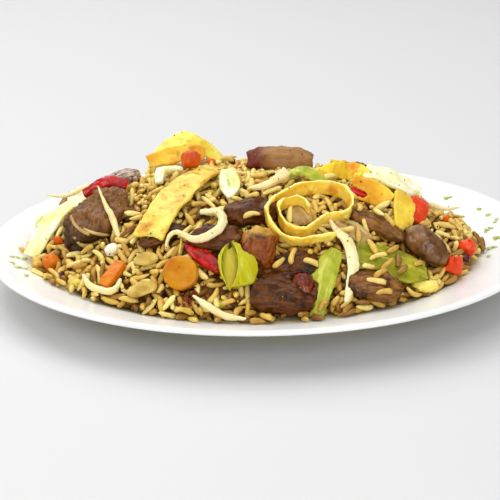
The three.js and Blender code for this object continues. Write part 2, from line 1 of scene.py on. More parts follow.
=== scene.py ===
"""A plate of nasi goreng: fried rice heaped on a white dinner plate, with omelette, meat and vegetables.

Everything is in metres, in the frame of the solids. The file follows the plate as it is served.
"""

import math

import bpy
import numpy as np
from mathutils import Matrix, Vector, noise
from mathutils.bvhtree import BVHTree


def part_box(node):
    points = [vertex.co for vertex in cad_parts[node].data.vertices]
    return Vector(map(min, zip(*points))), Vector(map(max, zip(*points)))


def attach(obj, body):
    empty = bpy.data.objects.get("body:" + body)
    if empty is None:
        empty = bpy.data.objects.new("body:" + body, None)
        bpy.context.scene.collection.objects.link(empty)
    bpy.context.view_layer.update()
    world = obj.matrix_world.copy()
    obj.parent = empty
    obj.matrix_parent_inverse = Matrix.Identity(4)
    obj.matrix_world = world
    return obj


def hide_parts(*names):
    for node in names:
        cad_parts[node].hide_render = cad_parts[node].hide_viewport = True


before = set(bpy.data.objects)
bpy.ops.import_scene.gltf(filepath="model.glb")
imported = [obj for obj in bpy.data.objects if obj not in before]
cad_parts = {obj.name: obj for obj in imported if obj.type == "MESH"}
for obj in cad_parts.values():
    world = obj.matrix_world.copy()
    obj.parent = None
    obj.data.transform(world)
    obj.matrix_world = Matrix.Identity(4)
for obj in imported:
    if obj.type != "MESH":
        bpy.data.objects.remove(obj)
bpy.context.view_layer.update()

MM = 0.001

# The camera looks at the plate from the front, a little above it, through a long lens.
# It is tipped by about a degree, so the right side of the plate stands a little higher.
CAMERA_PITCH = math.radians(18.01)
CAMERA_TIP = math.radians(-1.144)
CAMERA_DISTANCE = 862.3 * MM
CAMERA_LENS = 125.35
CAMERA_TARGET = Vector((-6.8, 0, 14.6)) * MM

sight = Vector((0, math.cos(CAMERA_PITCH), -math.sin(CAMERA_PITCH)))
bpy.ops.object.camera_add(
    location=CAMERA_TARGET - sight * CAMERA_DISTANCE,
    rotation=(math.pi / 2 - CAMERA_PITCH, 0, 0),
)
camera = bpy.context.object
camera.data.lens = CAMERA_LENS
bpy.context.view_layer.update()
camera.matrix_world = camera.matrix_world @ Matrix.Rotation(CAMERA_TIP, 4, "Z")
bpy.context.scene.camera = camera

# The dinner plate is one piece of white porcelain, turned on a wheel and dipped in clear glaze.
# Its floor turns up into a wide flat rim, and it stands on a ring that is left plain below.
# Yellow frying oil has run out of the rice and lies in a thin film round the heap.
PLATE_STEPS = 96
low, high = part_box("plate")
PLATE_RADIUS = high.x
RIM_HEIGHT = high.z
RIM_WIDTH = 16.6 * MM
RIM_DROP = 4.4 * MM
WALL = 3.4 * MM
LIP = 1.1 * MM
RIM_EDGE = 6 * LIP
FLOOR_RADIUS = 84 * MM
FLOOR_HEIGHT = 8 * MM
FOOT_RADIUS = 74.75 * MM
FOOT_HALF_WIDTH = 2.75 * MM
FOOT_HEIGHT = 3.2 * MM
WELL_CURVE = 12 * MM
WELL_RISE = 2.2 * MM
WELL_START = WELL_RISE / 3.2
HEAP_MIDDLE = -5 * MM
HEAP_HALF_LENGTH = 109 * MM
HEAP_HALF_WIDTH = 88 * MM


def pick(*pieces):
    """Selects these pieces and nothing else, and makes the first one active."""
    bpy.ops.object.select_all(action="DESELECT")
    for piece in pieces:
        piece.select_set(True)
    bpy.context.view_layer.objects.active = pieces[0]


def colour(red, green, blue):
    """A colour given in 0 to 255 as the linear colour that shaders take."""
    parts = [c / 255 for c in (red, green, blue)]
    linear = [c / 12.92 if c <= 0.04045 else ((c + 0.055) / 1.055) ** 2.4 for c in parts]
    return (*linear, 1)


def new_finish(name, **settings):
    """A material and its shader, with values set on the shader's own sockets."""
    material = bpy.data.materials.new(name)
    material.use_nodes = True
    shader = material.node_tree.nodes["Principled BSDF"]
    for socket, value in settings.items():
        shader.inputs[socket.replace("_", " ")].default_value = value
    return material, material.node_tree, shader


def add(tree, kind, inputs=None, **settings):
    """Adds a node. Its inputs are given as values, or as the sockets that feed them."""
    node = tree.nodes.new(kind)
    for name, value in settings.items():
        setattr(node, name, value)
    for socket, value in (inputs or {}).items():
        if isinstance(value, bpy.types.NodeSocket):
            tree.links.new(value, node.inputs[socket])
        else:
            node.inputs[socket].default_value = value
    return node


def place_on(tree):
    """The place of each point of the surface, in metres."""
    return add(tree, "ShaderNodeTexCoord").outputs["Object"]


def share_of(tree, value, start, stop, **settings):
    """A value between start and stop, as a share from 0 to 1."""
    inputs = {"Value": value, "From Min": start, "From Max": stop}
    return add(tree, "ShaderNodeMapRange", inputs, **settings).outputs["Result"]


def mixed(tree, share, first, second):
    """Two colours mixed by a share."""
    inputs = {"Factor": share, "A": first, "B": second}
    return add(tree, "ShaderNodeMix", inputs, data_type="RGBA").outputs["Result"]


def sum_of(tree, value, factor, more):
    """The value times the factor, plus more."""
    inputs = {0: value, 1: factor, 2: more}
    return add(tree, "ShaderNodeMath", inputs, operation="MULTIPLY_ADD").outputs["Value"]


def cloud_on(tree, scale, detail, roughness=0.5, where=None):
    """Soft noise from 0 to 1 over the surface, finer at a larger scale."""
    where = place_on(tree) if where is None else where
    inputs = {"Vector": where, "Scale": scale, "Detail": detail, "Roughness": roughness}
    return add(tree, "ShaderNodeTexNoise", inputs).outputs["Fac"]


def new_pattern(name, takes, gives):
    """A shader node group for a pattern, with named inputs and outputs."""
    tree = bpy.data.node_groups.new(name, "ShaderNodeTree")
    for socket, kind in takes.items():
        tree.interface.new_socket(socket, in_out="INPUT", socket_type="NodeSocket" + kind)
    for socket, kind in gives.items():
        tree.interface.new_socket(socket, in_out="OUTPUT", socket_type="NodeSocket" + kind)
    return tree, tree.nodes.new("NodeGroupInput").outputs, tree.nodes.new("NodeGroupOutput").inputs


def pattern_in(tree, pattern, **values):
    """Places a pattern in a material with the material's own values, and returns its outputs."""
    return add(tree, "ShaderNodeGroup", values, node_tree=pattern).outputs


def cover(tree, shader, base, height, strength, depth):
    """Gives a finish its pattern of colours, and a pattern of heights as relief on the surface."""
    tree.links.new(base, shader.inputs["Base Color"])
    bump = add(tree, "ShaderNodeBump", {"Height": height, "Strength": strength, "Distance": depth})
    tree.links.new(bump.outputs["Normal"], shader.inputs["Normal"])


def wear(piece, material, node):
    """Gives a finished piece its material and smooth shading, hangs it on the root body, and hides the solid
    it replaces.
    """
    piece.data.materials.clear()
    piece.data.materials.append(material)
    piece.data.shade_smooth()
    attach(piece, "root")
    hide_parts(node)


mottle, taken_in, given = new_pattern(
    "mottle",
    {"Light": "Color", "Dark": "Color", "Scale": "Float", "Softness": "Float"},
    {"Colour": "Color", "Share": "Float"},
)
share = share_of(
    mottle,
    cloud_on(mottle, taken_in["Scale"], 3, 0.6),
    sum_of(mottle, taken_in["Softness"], -0.5, 0.5),
    sum_of(mottle, taken_in["Softness"], 0.5, 0.5),
)
mottle.links.new(mixed(mottle, share, taken_in["Light"], taken_in["Dark"]), given["Colour"])
mottle.links.new(share, given["Share"])

spots, taken_in, given = new_pattern(
    "spots",
    {"Base": "Color", "Spots": "Color", "Scale": "Float", "Start": "Float", "Softness": "Float"},
    {"Colour": "Color", "Share": "Float"},
)
share = share_of(
    spots,
    cloud_on(spots, taken_in["Scale"], 4, 0.6),
    taken_in["Start"],
    sum_of(spots, taken_in["Softness"], 1, taken_in["Start"]),
)
spots.links.new(mixed(spots, share, taken_in["Base"], taken_in["Spots"]), given["Colour"])
spots.links.new(share, given["Share"])


def turned_profile():
    """The plate's half section, from the middle of its underside out over the rim to the floor's middle."""
    well_end = FLOOR_RADIUS + WELL_CURVE
    shoulder = PLATE_RADIUS - RIM_WIDTH
    shoulder_height = RIM_HEIGHT - RIM_DROP
    flare = [(0, 0), (0.5 * MM, 0.6 * MM), (2 * MM, FOOT_HEIGHT)]
    foot = [(FOOT_RADIUS - FOOT_HALF_WIDTH - out, height) for out, height in reversed(flare)]
    foot += [(FOOT_RADIUS + FOOT_HALF_WIDTH + out, height) for out, height in flare]
    lip = [
        (PLATE_RADIUS - LIP * (1 - math.cos(a)), RIM_HEIGHT - LIP + LIP * math.sin(a))
        for a in np.linspace(-math.pi / 2, math.pi / 2, 7)
    ]
    under = [
        (well_end, FLOOR_HEIGHT + WELL_RISE - WALL),
        ((well_end + shoulder) / 2, (FLOOR_HEIGHT + WELL_RISE + shoulder_height) / 2 - WALL),
        (shoulder, shoulder_height - WALL),
        (PLATE_RADIUS - RIM_EDGE, RIM_HEIGHT - 3.4 * LIP),
    ]
    top = [
        (PLATE_RADIUS - RIM_EDGE, RIM_HEIGHT - 1.3 * LIP),
        (shoulder + 1.5 * MM, shoulder_height + 0.4 * MM),
        (shoulder - 1.5 * MM, shoulder_height - 0.5 * MM),
        ((well_end + shoulder) / 2, (FLOOR_HEIGHT + WELL_RISE + shoulder_height) / 2),
        (well_end, FLOOR_HEIGHT + WELL_RISE),
        ((FLOOR_RADIUS + well_end) / 2, FLOOR_HEIGHT + WELL_START),
        (FLOOR_RADIUS, FLOOR_HEIGHT),
    ]
    return foot + under + lip + top


profile = turned_profile()
bpy.ops.mesh.primitive_circle_add(
    vertices=PLATE_STEPS, radius=profile[0][0], fill_type="NGON", location=(0, 0, FOOT_HEIGHT)
)
plate = bpy.context.object
plate.name = "plate_glazed"
bpy.ops.object.transform_apply(location=True, rotation=True, scale=True)
bpy.ops.object.mode_set(mode="EDIT")
bpy.ops.mesh.select_mode(type="EDGE")
bpy.ops.mesh.select_all(action="SELECT")
bpy.ops.mesh.region_to_loop()
for (radius, height), (next_radius, next_height) in zip(profile, profile[1:]):
    share = next_radius / radius
    bpy.ops.mesh.extrude_edges_move(TRANSFORM_OT_translate={"value": (0, 0, next_height - height)})
    bpy.ops.transform.resize(value=(share, share, 1), center_override=(0, 0, 0))
bpy.ops.mesh.edge_face_add()
bpy.ops.mesh.select_all(action="SELECT")
bpy.ops.mesh.normals_make_consistent(inside=False)
bpy.ops.object.mode_set(mode="OBJECT")

OIL_REACH, OIL_FULL, OIL_DEPTH = 1.075, 0.97, 0.85
glaze, tree, shader = new_finish("glaze", Roughness=0.26, Specular_IOR_Level=0.35)
white = pattern_in(
    tree, mottle, Light=colour(238, 238, 237), Dark=colour(244, 244, 243), Scale=45, Softness=0.4
)
across = add(tree, "ShaderNodeMapping", {
    "Vector": place_on(tree),
    "Location": (-HEAP_MIDDLE / HEAP_HALF_LENGTH, 0, 0),
    "Scale": (1 / HEAP_HALF_LENGTH, 1 / HEAP_HALF_WIDTH, 0),
})
reach = add(tree, "ShaderNodeVectorMath", {0: across.outputs["Vector"]}, operation="LENGTH")
near_rice = share_of(
    tree, reach.outputs["Value"], OIL_REACH, OIL_FULL, interpolation_type="SMOOTHSTEP"
)
smears = pattern_in(tree, spots, Scale=130, Start=0.36, Softness=0.2)["Share"]
oily = add(tree, "ShaderNodeMath", {0: near_rice, 1: smears}, operation="MULTIPLY").outputs["Value"]
oily = add(tree, "ShaderNodeMath", {0: oily, 1: OIL_DEPTH}, operation="MULTIPLY").outputs["Value"]
oiled = mixed(tree, oily, white["Colour"], colour(228, 220, 128))
cover(tree, shader, oiled, white["Share"], 0.04, 1 * MM)
wear(plate, glaze, "plate")

# The bed of rice is steamed long grain, fried until golden with a little dark sauce, and heaped
# with a spoon. Its inside is one packed mass, dark sauce-brown and darker still as painted shade
# for the gaps, and the grains that show lie on it one by one, in two layers: darker ones below,
# sauce-brown and with painted shade in their depth of brown, then whole, broken and loose ones on
# top of them. Grains lower on the heap get the darker finishes more often, as painted shade.
HEAP_TOP = 55 * MM
RICE_SINK = 3.2 * MM
CLUMP_HEIGHT, CLUMP_WIDTH = 0.55 * MM, 2.6 * MM
DENT_HEIGHT, DENT_WIDTH = 0.3 * MM, 1.2 * MM
TOE_DRAWN_IN = 0.045
GRAIN_LENGTH = 9.9 * MM
GRAIN_WIDTH = 2.7 * MM
# In shares of a grain's own size: how long and wide grains are, where the four balls lie that
# stand for one, how far grains press into each other and stay off the plate, how near their
# middles come to a topping, how blunt their ends are, and how much they are bent, tapered,
# dented and swollen. The short ones are thinner too.
LENGTHS = (0.76, 1.12)
WIDTHS = (0.86, 1.12)
BALL_PLACES = np.array([-0.36, -0.12, 0.12, 0.36])
OVERLAP = 0.2
OFF_THE_PLATE = 0.42
CLOSENESS = 0.6
BLUNTNESS = 3.6
BEND, TAPER, DENT, SWELLING = 0.17, 0.14, 0.09, 0.11
SHORT, SHORT_ARE_THINNER = 0.6, 0.92
# In shares of the heap's own reach: where grains get rarer past its outline, and how it sways.
OUTLINE_FADE = np.array([0.98, 1.0, 1.035])
OUTLINE_SWAY = 0.012
OUTLINE_WAVE = 22 * MM
GRID = 6 * MM
STEP_UP = 0.25 * MM
FAR_FROM_TOPPINGS = 12 * MM
BANKED_UP = 2.6 * MM
# How much more often grains high on the heap get the pale finishes than low ones: painted light and shade.
UP_IS_PALER = 0.75
PALE_SHARE, GOLDEN_SHARE = 0.45, 0.88
dice = np.random.default_rng(7)


def finish_with(piece, kind, **settings):
    """Puts a modifier on a piece and applies it."""
    pick(piece)
    modifier = piece.modifiers.new(kind.lower(), kind)
    for name, value in settings.items():
        setattr(modifier, name, value)
    bpy.ops.object.modifier_apply(modifier=modifier.name)


def new_piece(name, data):
    """A piece of this mesh or curve, in the scene."""
    piece = bpy.data.objects.new(name, data)
    bpy.context.collection.objects.link(piece)
    return piece


def soft_copy(node, name, voxel, smoothing):
    """A new piece in the form of a solid, remeshed finely and with its corners smoothed away."""
    piece = new_piece(name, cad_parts[node].data.copy())
    piece.data.materials.clear()
    pick(piece)
    bpy.ops.object.mode_set(mode="EDIT")
    bpy.ops.mesh.select_all(action="SELECT")
    bpy.ops.mesh.remove_doubles(threshold=0.001 * MM)
    bpy.ops.object.mode_set(mode="OBJECT")
    finish_with(piece, "REMESH", mode="VOXEL", voxel_size=voxel)
    finish_with(piece, "SMOOTH", factor=0.5, iterations=smoothing)
    return piece


def points_of(piece):
    """The places of a piece's points, as an array."""
    places = np.empty(len(piece.data.vertices) * 3)
    piece.data.vertices.foreach_get("co", places)
    return places.reshape(-1, 3)


def taken_apart(piece):
    """The corners and faces of a piece that is only a form for others, and is then removed."""
    corners = points_of(piece)
    faces = [list(face.vertices) for face in piece.data.polygons]
    bpy.data.objects.remove(piece)
    return corners, faces


def normals_of(piece):
    """The directions in which a piece's surface faces at its points."""
    facing = np.empty(len(piece.data.vertices) * 3)
    piece.data.vertex_normals.foreach_get("vector", facing)
    return facing.reshape(-1, 3)


def set_points(piece, places):
    """Moves a piece's points to new places."""
    piece.data.vertices.foreach_set("co", places.ravel())
    piece.data.update()


def unevenness(places, size, seed):
    """Smooth noise between -1 and 1 at each place, with lumps about as wide as size."""
    shift = Vector((seed * 3.7, seed * 1.9, seed * 0.7))
    return np.array([noise.noise(Vector(p) / size + shift) for p in places])


def plate_top(radius):
    """The height of the plate's upper face at a distance from its middle."""
    well_end = FLOOR_RADIUS + WELL_CURVE
    radii = [0, FLOOR_RADIUS, (FLOOR_RADIUS + well_end) / 2, well_end, PLATE_RADIUS - RIM_WIDTH, PLATE_RADIUS]
    heights = [FLOOR_HEIGHT, FLOOR_HEIGHT, FLOOR_HEIGHT + WELL_START, FLOOR_HEIGHT + WELL_RISE]
    heights += [RIM_HEIGHT - RIM_DROP, RIM_HEIGHT]
    return np.interp(radius, radii, heights)


def reach_of(places):
    """How far out in the heap each place is: 0 in the middle and 1 at its outline."""
    return np.hypot((places[:, 0] - HEAP_MIDDLE) / HEAP_HALF_LENGTH, places[:, 1] / HEAP_HALF_WIDTH)


rice_bed = soft_copy("rice", "rice_bed", voxel=1.6 * MM, smoothing=3)
places, facing = points_of(rice_bed), normals_of(rice_bed)
relief = CLUMP_HEIGHT * unevenness(places, CLUMP_WIDTH, 1) + DENT_HEIGHT * unevenness(places, DENT_WIDTH, 2)
upper = facing[:, 2] > -0.4
places[upper] += facing[upper] * (relief[upper] - RICE_SINK)[:, None]
lowest = plate_top(np.hypot(places[:, 0], places[:, 1])) + 0.35 * MM
places[:, 2] = np.where(upper, np.maximum(places[:, 2], lowest), places[:, 2])
drawn_in = 1 - TOE_DRAWN_IN * np.clip((reach_of(places) - 0.8) / 0.2, 0, 1)
places[:, 0] = HEAP_MIDDLE + (places[:, 0] - HEAP_MIDDLE) * drawn_in
places[:, 1] *= drawn_in
set_points(rice_bed, places)


def joined_tree(*nodes):
    """One search tree over several solids, with their corners and faces."""
    corners, faces = [], []
    for mesh in [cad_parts[node].data for node in nodes]:
        start = len(corners)
        corners += [tuple(v.co) for v in mesh.vertices]
        faces += [[start + i for i in face.vertices] for face in mesh.polygons]
    return BVHTree.FromPolygons(corners, faces), np.array(corners), np.array(faces)


topping_names = [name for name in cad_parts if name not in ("plate", "rice")]
toppings, *topping_skins = joined_tree(*topping_names)
heap_form = soft_copy("rice", "heap_form", voxel=3 * MM, smoothing=4)
finish_with(heap_form, "TRIANGULATE")
heap_corners, heap_faces = taken_apart(heap_form)
heap_tree = BVHTree.FromPolygons(heap_corners.tolist(), heap_faces)
heap = (heap_corners, np.array(heap_faces))


def spread_over(corners, faces, number, steepest):
    """Evenly spread random places on a mesh of triangles, and the way it faces there."""
    a, b, c = (corners[faces[:, i]] for i in range(3))
    normal = np.cross(b - a, c - a)
    area = np.linalg.norm(normal, axis=1)
    normal /= np.maximum(area, 1e-12)[:, None]
    share = np.where(normal[:, 2] > steepest, area, 0)
    chosen = dice.choice(len(faces), number, p=share / share.sum())
    u, v = dice.random(number), dice.random(number)
    flip = u + v > 1
    u, v = np.where(flip, 1 - u, u), np.where(flip, 1 - v, v)
    a, b, c = a[chosen], b[chosen], c[chosen]
    return a + (b - a) * u[:, None] + (c - a) * v[:, None], normal[chosen]


taken = {}


def around(place):
    """The balls that stand for the grains already laid near a place."""
    i, j = int(place[0] // GRID), int(place[1] // GRID)
    cells = [(i + di, j + dj) for di in (-1, 0, 1) for dj in (-1, 0, 1)]
    near = [np.array(taken[cell]) for cell in cells if cell in taken]
    return np.concatenate(near) if near else np.zeros((0, 4))


def clear_of_toppings(balls, radius):
    """Whether none of the balls lies in a topping or sinks far into its skin."""
    for ball in balls:
        found, way_out, _, distance = toppings.find_nearest(Vector(ball), FAR_FROM_TOPPINGS)
        if found is None:
            continue
        if distance < radius * CLOSENESS or (Vector(ball) - found).dot(way_out) < 0:
            return False
    return True


def lay_grains(corners, faces, tries, size, levels, tip, steepest=-0.1, keep=None):
    """Drops grains one at a time. Each takes the lowest clear place over where it falls."""
    laid = []
    lowest, highest = (level * MM for level in levels)
    starts, ways = spread_over(corners, faces, tries, steepest)
    for start, up in zip(starts, ways):
        if keep is not None and not keep(start):
            continue
        length = GRAIN_LENGTH * size * dice.uniform(*LENGTHS)
        width = GRAIN_WIDTH * dice.uniform(*WIDTHS) * (1 if size > SHORT else SHORT_ARE_THINNER)
        side = np.cross(up, dice.normal(size=3))
        side /= np.linalg.norm(side)
        angle = math.radians(dice.normal(0, tip))
        along = side * math.cos(angle) + up * math.sin(angle)
        row = along * length * BALL_PLACES[:, None]
        heights = np.arange(lowest, highest, STEP_UP)
        near = around(start)
        balls = start + up * heights[:, None, None] + row
        gaps = np.linalg.norm(balls[:, :, None] - near[:, :3], axis=3) - near[:, 3] - width / 2
        touching = (gaps < -OVERLAP * width).any(axis=(1, 2))
        on_plate = plate_top(np.linalg.norm(balls[:, :, :2], axis=2)) + width * OFF_THE_PLATE
        sunk = (balls[:, :, 2] < on_plate).any(axis=1)
        for level in np.flatnonzero(~touching & ~sunk):
            if clear_of_toppings(balls[level], width / 2):
                break
        else:
            continue
        for ball in balls[level]:
            taken.setdefault((int(ball[0] // GRID), int(ball[1] // GRID)), []).append((*ball, width / 2))
        laid.append((start + up * heights[level], along, up, length, width))
    return laid


def toe_ring():
    """A ring of faces on the plate along the heap's outline, for the grains that slid down to it."""
    corners, faces = [], []
    for i in range(PLATE_STEPS):
        angle = math.tau * i / PLATE_STEPS
        for reach in (0.9, 1.05):
            x = HEAP_MIDDLE + HEAP_HALF_LENGTH * reach * math.cos(angle)
            y = HEAP_HALF_WIDTH * reach * math.sin(angle)
            corners.append((x, y, plate_top(math.hypot(x, y))))
        a, b = 2 * i, 2 * ((i + 1) % PLATE_STEPS)
        faces += [[a, a + 1, b + 1], [a, b + 1, b]]
    return np.array(corners), np.array(faces)


def near_the_outline(place):
    """Grains get rarer past the outline, and they lie further out in some places than others."""
    reach = reach_of(place[None])[0]
    sway = OUTLINE_SWAY * noise.noise(Vector(place) / OUTLINE_WAVE)
    return dice.random() < np.interp(reach, OUTLINE_FADE + sway, [1, 0.5, 0])


def by_the_rice(place):
    """True low on a topping's side, where grains bank up against it."""
    return heap_tree.find_nearest(Vector(place))[3] < BANKED_UP


def named(*starts):
    """The toppings whose names start in one of these ways."""
    return [name for name in topping_names if name.startswith(starts)]


lower_grains = lay_grains(*heap, tries=5200, size=0.95, levels=(-3.4, -2.2), tip=12)
bed_grains = lay_grains(*heap, tries=8500, size=1, levels=(-1.9, 0.3), tip=22)
short_grains = lay_grains(*heap, tries=4500, size=0.5, levels=(-1.8, 0.7), tip=35)
loose_grains = lay_grains(*heap, tries=2400, size=0.95, levels=(-0.4, 2.2), tip=34)
toe_grains = lay_grains(
    *toe_ring(), tries=4200, size=0.9, levels=(1.1, 5.2), tip=10, keep=near_the_outline
)
edge_grains = lay_grains(
    *topping_skins, tries=1500, size=0.9, levels=(1, 2), tip=15, steepest=-0.2, keep=by_the_rice
)
grain_catchers = named("meat_front_ri", "meat_front_u", "meat_m", "meat_s", "leek_leaf", "onion_r")
_, *strewn_skins = joined_tree(*grain_catchers)
strewn_grains = lay_grains(*strewn_skins, tries=64, size=0.9, levels=(1.1, 2), tip=10, steepest=0)


def grain_form():
    """One cooked grain, two units long and wide: a ball with blunt ends and few faces."""
    bpy.ops.object.select_all(action="DESELECT")
    bpy.ops.mesh.primitive_uv_sphere_add(segments=8, ring_count=7, radius=1, rotation=(0, math.pi / 2, 0))
    bpy.ops.object.transform_apply(location=False, rotation=True, scale=False)
    corners, faces = taken_apart(bpy.context.object)
    fat = np.sqrt(np.clip(1 - np.abs(corners[:, 0]) ** BLUNTNESS, 0.02, 1))
    thin = np.sqrt(np.clip(1 - corners[:, 0] ** 2, 0.02, 1))
    corners[:, 1:] *= (fat / thin)[:, None]
    return corners, faces


def add_to_rice(name, corners, faces, material):
    """Makes one mesh of many small things, which replaces the rice together with the others."""
    mesh = bpy.data.meshes.new(name)
    mesh.from_pydata(np.concatenate(corners).tolist(), [], faces)
    mesh.update()
    piece = new_piece(name, mesh)
    wear(piece, material, "rice")
    return piece


def pour(name, grains, material):
    """Makes one mesh of many grains. Each has its own size, bend, dents and depth of colour."""
    form, form_faces = grain_form()
    corners, faces, tones = [], [], []
    for middle, along, up, length, width in grains:
        across = np.cross(up, along)
        across /= np.linalg.norm(across)
        over = np.cross(along, across)
        turn = dice.uniform(0, math.tau)
        bend = dice.normal(0, BEND)
        taper = dice.normal(0, TAPER)
        own = form * (1 + dice.uniform(-DENT, DENT, (len(form), 1)))
        x = own[:, 0] * length / 2
        fat = 1 + SWELLING * np.sin(3.1 * form[:, 0] + turn) + taper * form[:, 0]
        y = own[:, 1] * width / 2 * fat
        z = own[:, 2] * width / 2 * 0.92 * fat
        y = y + bend * length / 2 * (form[:, 0] ** 2 - 0.4)
        start = len(corners) * len(form)
        corners.append(middle + x[:, None] * along + y[:, None] * across + z[:, None] * over)
        faces += [[start + i for i in face] for face in form_faces]
        tones.append(np.full(len(form), dice.random()))
    tone = add_to_rice(name, corners, faces, material).data.attributes.new("tone", "FLOAT", "POINT")
    tone.data.foreach_set("value", np.concatenate(tones))


skin, taken_in, given = new_pattern("skin", {"Scale": "Float"}, {"Height": "Float"})
skin.links.new(cloud_on(skin, taken_in["Scale"], 3), given["Height"])

cooked_rice, taken_in, given = new_pattern(
    "cooked_rice", {"Light": "Color", "Dark": "Color"}, {"Colour": "Color"}
)
own_tone = add(cooked_rice, "ShaderNodeAttribute", attribute_name="tone").outputs["Fac"]
depth = sum_of(cooked_rice, own_tone, 0.75, -0.62)
depth = sum_of(cooked_rice, cloud_on(cooked_rice, 420, 3), 1, depth)
depth = sum_of(cooked_rice, cloud_on(cooked_rice, 38, 2), 0.7, depth)
cooked_rice.links.new(mixed(cooked_rice, depth, taken_in["Light"], taken_in["Dark"]), given["Colour"])


def moist_finish(name, shine, coat, glow, depth, tint, **settings):
    """A finish for moist food: its coat's weight and roughness, and how deep light sinks in, in mm."""
    return new_finish(
        name,
        Specular_IOR_Level=shine,
        Coat_Weight=coat[0],
        Coat_Roughness=coat[1],
        Subsurface_Weight=glow,
        Subsurface_Scale=depth * MM,
        Subsurface_Radius=tint,
        **settings,
    )


def rice_finish(name, light, dark, wet):
    """Cooked rice: each grain has its own depth of colour, darker where sauce has dried on it."""
    material, tree, shader = moist_finish(
        name, shine=0.3, coat=(wet, 0.18), glow=0.35, depth=1.6, tint=(1, 0.7, 0.3), Roughness=0.38
    )
    shades = pattern_in(tree, cooked_rice, Light=colour(*light), Dark=colour(*dark))
    cover(tree, shader, shades["Colour"], pattern_in(tree, skin, Scale=1400)["Height"], 0.25, 0.2 * MM)
    return material


upper_grains = bed_grains + short_grains + loose_grains + toe_grains + edge_grains + strewn_grains
# Grains lower on the heap are more often poured with the darker finishes, as painted shade.
darkness = [dice.random() - UP_IS_PALER * grain[0][2] / HEAP_TOP for grain in upper_grains]
by_shade = [upper_grains[i] for i in np.argsort(darkness)]
pale_end, golden_end = int(PALE_SHARE * len(by_shade)), int(GOLDEN_SHARE * len(by_shade))
golden_grains = by_shade[pale_end:golden_end]
for name, grains, finish, light, dark, wet in [
    ("rice_grains_pale", by_shade[:pale_end], "pale_rice", (253, 236, 150), (220, 183, 86), 0.12),
    ("rice_grains_golden", golden_grains, "golden_rice", (238, 204, 102), (188, 143, 54), 0.16),
    ("rice_grains_brown", by_shade[golden_end:], "brown_rice", (196, 150, 62), (124, 80, 20), 0.2),
    # The lower layer, seen only in the gaps, is darker: sauce-brown and painted shade.
    ("rice_grains_below", lower_grains, "saucy_rice", (178, 132, 48), (104, 65, 14), 0.22),
]:
    pour(name, grains, rice_finish(finish, light, dark, wet))

# The packed inside is dark sauce-brown in clumps, and darker still as painted shade for the gaps between the
# grains.
bed_finish, tree, shader = new_finish("rice_inside", Roughness=0.5, Specular_IOR_Level=0.3)
clumps_and_gap_shade = pattern_in(tree, mottle, Light=colour(140, 90, 26), Dark=colour(56, 30, 6), Scale=260, Softness=0.3)
cover(tree, shader, clumps_and_gap_shade["Colour"], clumps_and_gap_shade["Share"], 0.6, 0.8 * MM)
wear(rice_bed, bed_finish, "rice")

# The meat is beef and pork, cut by hand, browned in the pan and glazed with dark soy sauce.
# It is the lowest layer of what lies on the rice. Its cut faces show the run of its fibres.
FIBRE_WIDTH = 1.2 * MM
FIBRE_RUN = np.array([0.16, 1, 1])
FINER = 0.4
RAGGED = 6 * MM


def mark_lengthwise(piece, run=None):
    """Stores each point's place along, across and through the piece, for patterns that follow it."""
    places = points_of(piece)
    middle = places.mean(axis=0)
    _, axes = np.linalg.eigh(np.cov((places - middle).T))
    axes = axes[:, ::-1]
    if run is not None:
        along = np.array(run) / np.linalg.norm(run)
        across = np.cross(along, (0, 1, 0))
        across /= np.linalg.norm(across)
        axes = np.array([along, across, np.cross(along, across)]).T
    own = (places - middle) @ axes
    stored = piece.data.attributes.new("lengthwise", "FLOAT_VECTOR", "POINT")
    stored.data.foreach_set("vector", own.ravel())
    return own


def roughen(piece, depth, size, seed, fibres=0, run=None):
    """Carves a soft, uneven surface into a piece, and fibres that run along it."""
    own = mark_lengthwise(piece, run)
    places, facing = points_of(piece), normals_of(piece)
    rise = depth * unevenness(places, size, seed)
    rise += depth * FINER * unevenness(places, size * FINER, seed + 9)
    if fibres:
        rise += fibres * (1 - 2 * np.abs(unevenness(own * FIBRE_RUN, FIBRE_WIDTH, seed + 5)))
    set_points(piece, places + facing * rise[:, None])


def cook(node, ending, material, voxel, smoothing, depth, lump, seed, fibres=0, run=None):
    """Replaces a solid by soft food with an uneven surface. Its sizes are in millimetres."""
    piece = soft_copy(node, node + ending, voxel * MM, smoothing)
    roughen(piece, depth * MM, lump * MM, seed, fibres=fibres * MM, run=run)
    wear(piece, material, node)


streaks, taken_in, given = new_pattern(
    "streaks", {"Scale": "Float", "Stretch": "Vector"}, {"Streak": "Float"}
)
own_place = add(streaks, "ShaderNodeAttribute", attribute_name="lengthwise").outputs["Vector"]
drawn = add(streaks, "ShaderNodeVectorMath", {0: own_place, 1: taken_in["Stretch"]}, operation="MULTIPLY")
lines = cloud_on(streaks, taken_in["Scale"], 4, 0.65, drawn.outputs["Vector"])
streaks.links.new(lines, given["Streak"])

one_end, taken_in, given = new_pattern(
    "one_end",
    {"Base": "Color", "End": "Color", "Axis": "Vector", "Start": "Float", "Stop": "Float"},
    {"Colour": "Color"},
)
inputs = {0: place_on(one_end), 1: taken_in["Axis"]}
along = add(one_end, "ShaderNodeVectorMath", inputs, operation="DOT_PRODUCT").outputs["Value"]
along = sum_of(one_end, cloud_on(one_end, 240, 3), RAGGED, along)
share = share_of(one_end, along, taken_in["Start"], taken_in["Stop"])
one_end.links.new(mixed(one_end, share, taken_in["Base"], taken_in["End"]), given["Colour"])


